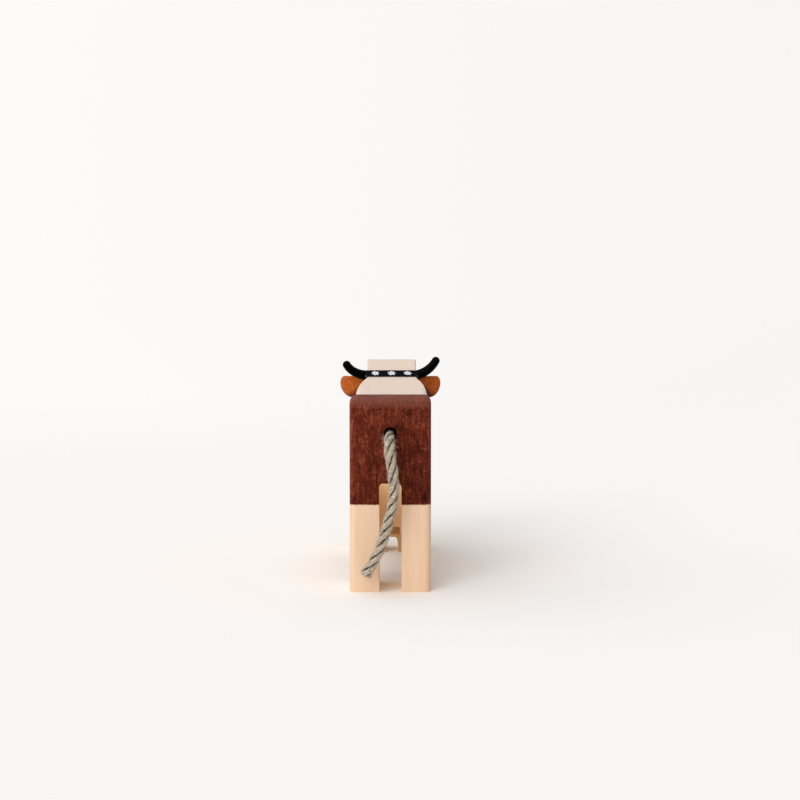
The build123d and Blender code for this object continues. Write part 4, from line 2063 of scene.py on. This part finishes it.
    def flower(
        self, rng: random.Random, middle: float, lines: dict[float, Line], gone: list[float]
    ) -> tuple[Line, Faces, list]:
        """One woven flower with uneven pointed petals.

        Args:
            rng: The source of its unevenness.
            middle: Its place along the loop, in millimetres.
            lines: Loops over the ribbon by their distance along the neck.
            gone: The distance along the loop of each point.

        Returns:
            Vertices, faces and texture places.
        """

        def on_ribbon(round_way: float, along: float, rise: float) -> Vector:
            """A point over the ribbon's outer skin.

            Args:
                round_way: Its distance from the flower's middle along the ribbon.
                along: Its distance from the ribbon's middle.
                rise: Its height over the skin.

            Returns:
                The point, in metres.
            """
            total = gone[-1]
            target = (middle + round_way) % total
            at = next(number for number, far in enumerate(gone[1:]) if far >= target)
            share = (target - gone[at]) / (gone[at + 1] - gone[at])
            near, far_line = lines[-1.0], lines[1.0]
            count = len(near)
            low = near[at].lerp(near[(at + 1) % count], share)
            high = far_line[at].lerp(far_line[(at + 1) % count], share)
            point = low.lerp(high, (along + 1) / 2)
            out = (near[(at + 1) % count] - near[at]).cross(high - low).normalized()
            return point + out * rise * MM

        points, faces, uvs = [], [], []
        for petal in range(self.petals):
            turn = FULL_TURN * (petal + rng.uniform(-self.petal_turn, self.petal_turn)) / self.petals
            length = self.flower_radius * rng.uniform(*self.petal_length)
            width = self.flower_radius * rng.uniform(*self.petal_width)
            way = Vector((cos(turn), sin(turn)))
            beside = Vector((-way.y, way.x))
            first = len(points)
            for step in range(self.petal_steps + 1):
                share = step / self.petal_steps
                fullness = sin(pi * min(1.0, self.petal_root + share * (1 - self.petal_root)))
                half = width * fullness**self.petal_power
                out = length * (self.petal_heart + (1 - self.petal_heart) * share)
                for edge in (-1, 0, 1):
                    spot = way * out + beside * half * edge
                    rise = self.petal_rise * (self.petal_edge if edge else 1.0)
                    points.append(on_ribbon(spot.x, spot.y, rise))
            for step in range(self.petal_steps):
                for edge in range(2):
                    here = first + step * 3 + edge
                    faces.append((here, here + 3, here + 4, here + 1))
                    share = step / self.petal_steps * length
                    uvs += [(lane * width, share) for lane in (edge, edge, edge + 1, edge + 1)]
        return points, faces, uvs

    def build(self) -> list[Piece]:
        """Makes the band with its punched hole, and the flowers on it.

        Returns:
            The band and the flowers.
        """
        points, faces, uvs = self.band()
        band = make_piece("ribbon_band", points, faces, WovenPolyester().material(), uvs)
        throat_out = Vector((0.0, self.chest_slope[1], -self.chest_slope[0]))
        spot = Vector((0.0, *self.hole_place)) * MM
        reach = throat_out * self.punch_reach * MM
        punch_form = tube([spot - reach, spot + reach], [self.hole_radius * MM] * 2, self.hole_sides)
        punch = make_piece("ribbon_punch", *punch_form, band.data.materials[0])
        cut = band.modifiers.new("hole", "BOOLEAN")
        cut.object = punch
        cut.operation = "DIFFERENCE"
        cut.solver = "EXACT"
        bpy.context.view_layer.update()
        graph = bpy.context.evaluated_depsgraph_get()
        band.data = bpy.data.meshes.new_from_object(band.evaluated_get(graph))
        band.modifiers.clear()
        bpy.data.objects.remove(punch)

        lines = {side: self.loop(side, self.thickness) for side in (-1.0, 1.0)}
        gone = self.lengths(lines[1.0])
        rng = random.Random(self.seed)
        flower_points, flower_faces, flower_uvs = [], [], []
        for number in range(self.flowers):
            middle = gone[-1] * number / self.flowers
            spots, sheets, places = self.flower(rng, middle, lines, gone)
            first = len(flower_points)
            flower_points += spots
            flower_faces += [tuple(first + corner for corner in sheet) for sheet in sheets]
            flower_uvs += places
        flowers = make_piece(
            "ribbon_flowers", flower_points, flower_faces, FloatedThread().material(), flower_uvs
        )
        hang_on(band, Body.COW, Slot.RIBBON, "collar_ribbon")
        hang_on(flowers, Body.COW, Slot.RIBBON)
        return [band, flowers]


@dataclass
class Bell:
    """The little brass bell: its ring, cup, wire hanger and clapper, all on one upright line."""

    line_place: float = 43.117
    ring_top: float = 42.862
    ring_radius: float = 2.5
    ring_wire: float = 0.35
    bell_top: float = 35.712
    height: float = 10.0
    mouth_radius: float = 5.0
    waist_radius: float = 3.7
    crown_radius: float = 2.6
    crown_hole: float = 0.34
    crown_flat: float = 0.4
    crown_inside: float = 0.35
    lip_height: float = 1.4
    lip_bevel: float = 0.12
    lip_edge: float = 0.08
    corner_reach: float = 0.75
    corner_steps: int = 7
    crown_round: float = 1.5
    wall: float = 0.6
    side_hollow: float = 0.15
    hanger_radius: float = 1.25
    hanger_wire: float = 0.3
    clapper_radius: float = 0.85
    clapper_wire: float = 0.25
    ball_radius: float = 1.35
    stem_length: float = 4.6
    link_play: float = 0.12
    sides: int = 96
    ring_steps: int = 72
    shank_steps: int = 8
    ball_rings: int = 32
    wire_sides: int = 18

    def eye(self, radius: float, wire: float, height: float, about: str) -> Mesh:
        """A closed ring of wire.

        Args:
            radius: The radius of its middle line.
            wire: The wire's radius.
            height: Its middle's height.
            about: The axis that it turns round, X or Y.

        Returns:
            Its vertices and faces.
        """
        line = []
        for step in range(self.ring_steps):
            turn = FULL_TURN * step / self.ring_steps
            side, up = cos(turn) * radius, sin(turn) * radius
            x, y = (0.0, side) if about == "X" else (side, 0.0)
            line.append(Vector((x, self.line_place + y, height + up)) * MM)
        return tube(line, [wire * MM] * self.ring_steps, self.wire_sides, closed=True)

    def shank(self, top: float, bottom: float, wire: float) -> Mesh:
        """A straight piece of wire on the bell's upright line.

        Args:
            top: Its upper end's height.
            bottom: Its lower end's height.
            wire: The wire's radius.

        Returns:
            Its vertices and faces.
        """
        steps = self.shank_steps
        heights = [bottom + (top - bottom) * step / steps for step in range(steps + 1)]
        line = [Vector((0.0, self.line_place, height)) * MM for height in heights]
        return tube(line, [wire * MM] * len(line), self.wire_sides)

    def cup(self) -> Mesh:
        """The turned cup, with an eased lip, a bead above it and a round crown.

        Returns:
            Its vertices and faces.
        """
        waist = self.lip_height - self.height
        hollow = (self.crown_radius + self.waist_radius) / 2 - self.side_hollow
        hollow_height = (waist - self.crown_round) / 2
        inner_crown = self.crown_radius - self.wall
        outside = [
            (self.crown_hole, 0.0),
            (self.crown_radius - self.crown_round * self.crown_flat, 0.0),
            (self.crown_radius, -self.crown_round),
            (hollow, hollow_height),
            (self.waist_radius, waist),
            (self.mouth_radius, -self.height + self.lip_bevel),
            (self.mouth_radius - self.lip_edge, -self.height),
        ]
        inside = [
            (self.mouth_radius - self.wall, -self.height),
            (self.waist_radius - self.wall, waist),
            (hollow - self.wall, hollow_height),
            (inner_crown, -self.crown_round - self.wall / 2),
            (inner_crown - self.crown_round * self.crown_inside, -self.wall),
            (self.crown_hole, -self.wall),
        ]
        profile = eased(outside + inside, self.corner_reach, self.corner_steps)
        profile.append(profile[0])
        middle = Vector((0.0, self.line_place, self.bell_top)) * MM
        return revolved(profile, self.sides, middle)

    def ball(self, height: float) -> Mesh:
        """The clapper's ball, whose poles are turned flat.

        Args:
            height: Its middle's height.

        Returns:
            Its vertices and faces.
        """
        profile = []
        for step in range(1, self.ball_rings):
            turn = pi * step / self.ball_rings
            profile.append((sin(turn) * self.ball_radius, cos(turn) * self.ball_radius))
        middle = Vector((0.0, self.line_place, height)) * MM
        count = self.sides // 2
        points, faces = revolved(profile, count, middle)
        return points, faces + ends(len(profile), count, -1)

    def build(self) -> list[Piece]:
        """Makes the ring, cup, hanger and clapper.

        Returns:
            The four pieces, from the ribbon down.
        """
        turned = Brass().material()
        drawn = Brass(
            name="brass_wire_drawn", bright="#D9B36A", line_spacing=0.5, cloud_size=0.9, roughness=0.33
        ).material()
        ring_middle = self.ring_top - self.ring_radius
        pivot = ring_middle - self.ring_radius
        drop = self.hanger_radius - self.hanger_wire - self.ring_wire - self.link_play
        upper = pivot - drop
        lower = self.bell_top - self.wall - self.hanger_radius - self.hanger_wire - self.link_play
        clapper_pivot = lower - self.hanger_radius
        clapper_eye = clapper_pivot - (
            self.clapper_radius - self.clapper_wire - self.hanger_wire - self.link_play
        )
        ball_height = clapper_eye - self.clapper_radius - self.stem_length
        ring = make_piece("collar_ring", *self.eye(self.ring_radius, self.ring_wire, ring_middle, "X"), drawn)
        cup = make_piece("turned_bell", *self.cup(), turned)
        hanger_parts = [
            self.eye(self.hanger_radius, self.hanger_wire, upper, "Y"),
            self.eye(self.hanger_radius, self.hanger_wire, lower, "Y"),
            self.shank(upper - self.hanger_radius, lower + self.hanger_radius, self.hanger_wire),
        ]
        hanger = make_piece("bell_wire", *joined(hanger_parts), drawn)
        clapper_parts = [
            self.eye(self.clapper_radius, self.clapper_wire, clapper_eye, "X"),
            self.shank(clapper_eye - self.clapper_radius, ball_height, self.clapper_wire),
            self.ball(ball_height),
        ]
        clapper = make_piece("bell_striker", *joined(clapper_parts), drawn)
        hang_on(ring, Body.RING, Slot.WIRE, "bell_ring")
        hang_on(cup, Body.BELL, Slot.BELL, "bell_cup")
        hang_on(hanger, Body.BELL, Slot.WIRE, "bell_hanger")
        hang_on(clapper, Body.CLAPPER, Slot.WIRE, "bell_clapper")
        return [ring, cup, hanger, clapper]


def main() -> None:
    """Builds the studio and dresses every part of the cow."""
    logging.basicConfig(level=logging.INFO, format="%(message)s")
    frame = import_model()
    Studio().build()
    pieces = TailCord().build()
    pieces += WoodenCow().build(frame["nodes"])
    pieces += Horns().build()
    pieces += Ears().build()
    pieces += RibbonCollar().build()
    pieces += Bell().build()
    for piece in pieces:
        log.info("%s: %d faces", piece.name, len(piece.data.polygons))


if __name__ == "__main__":
    main()
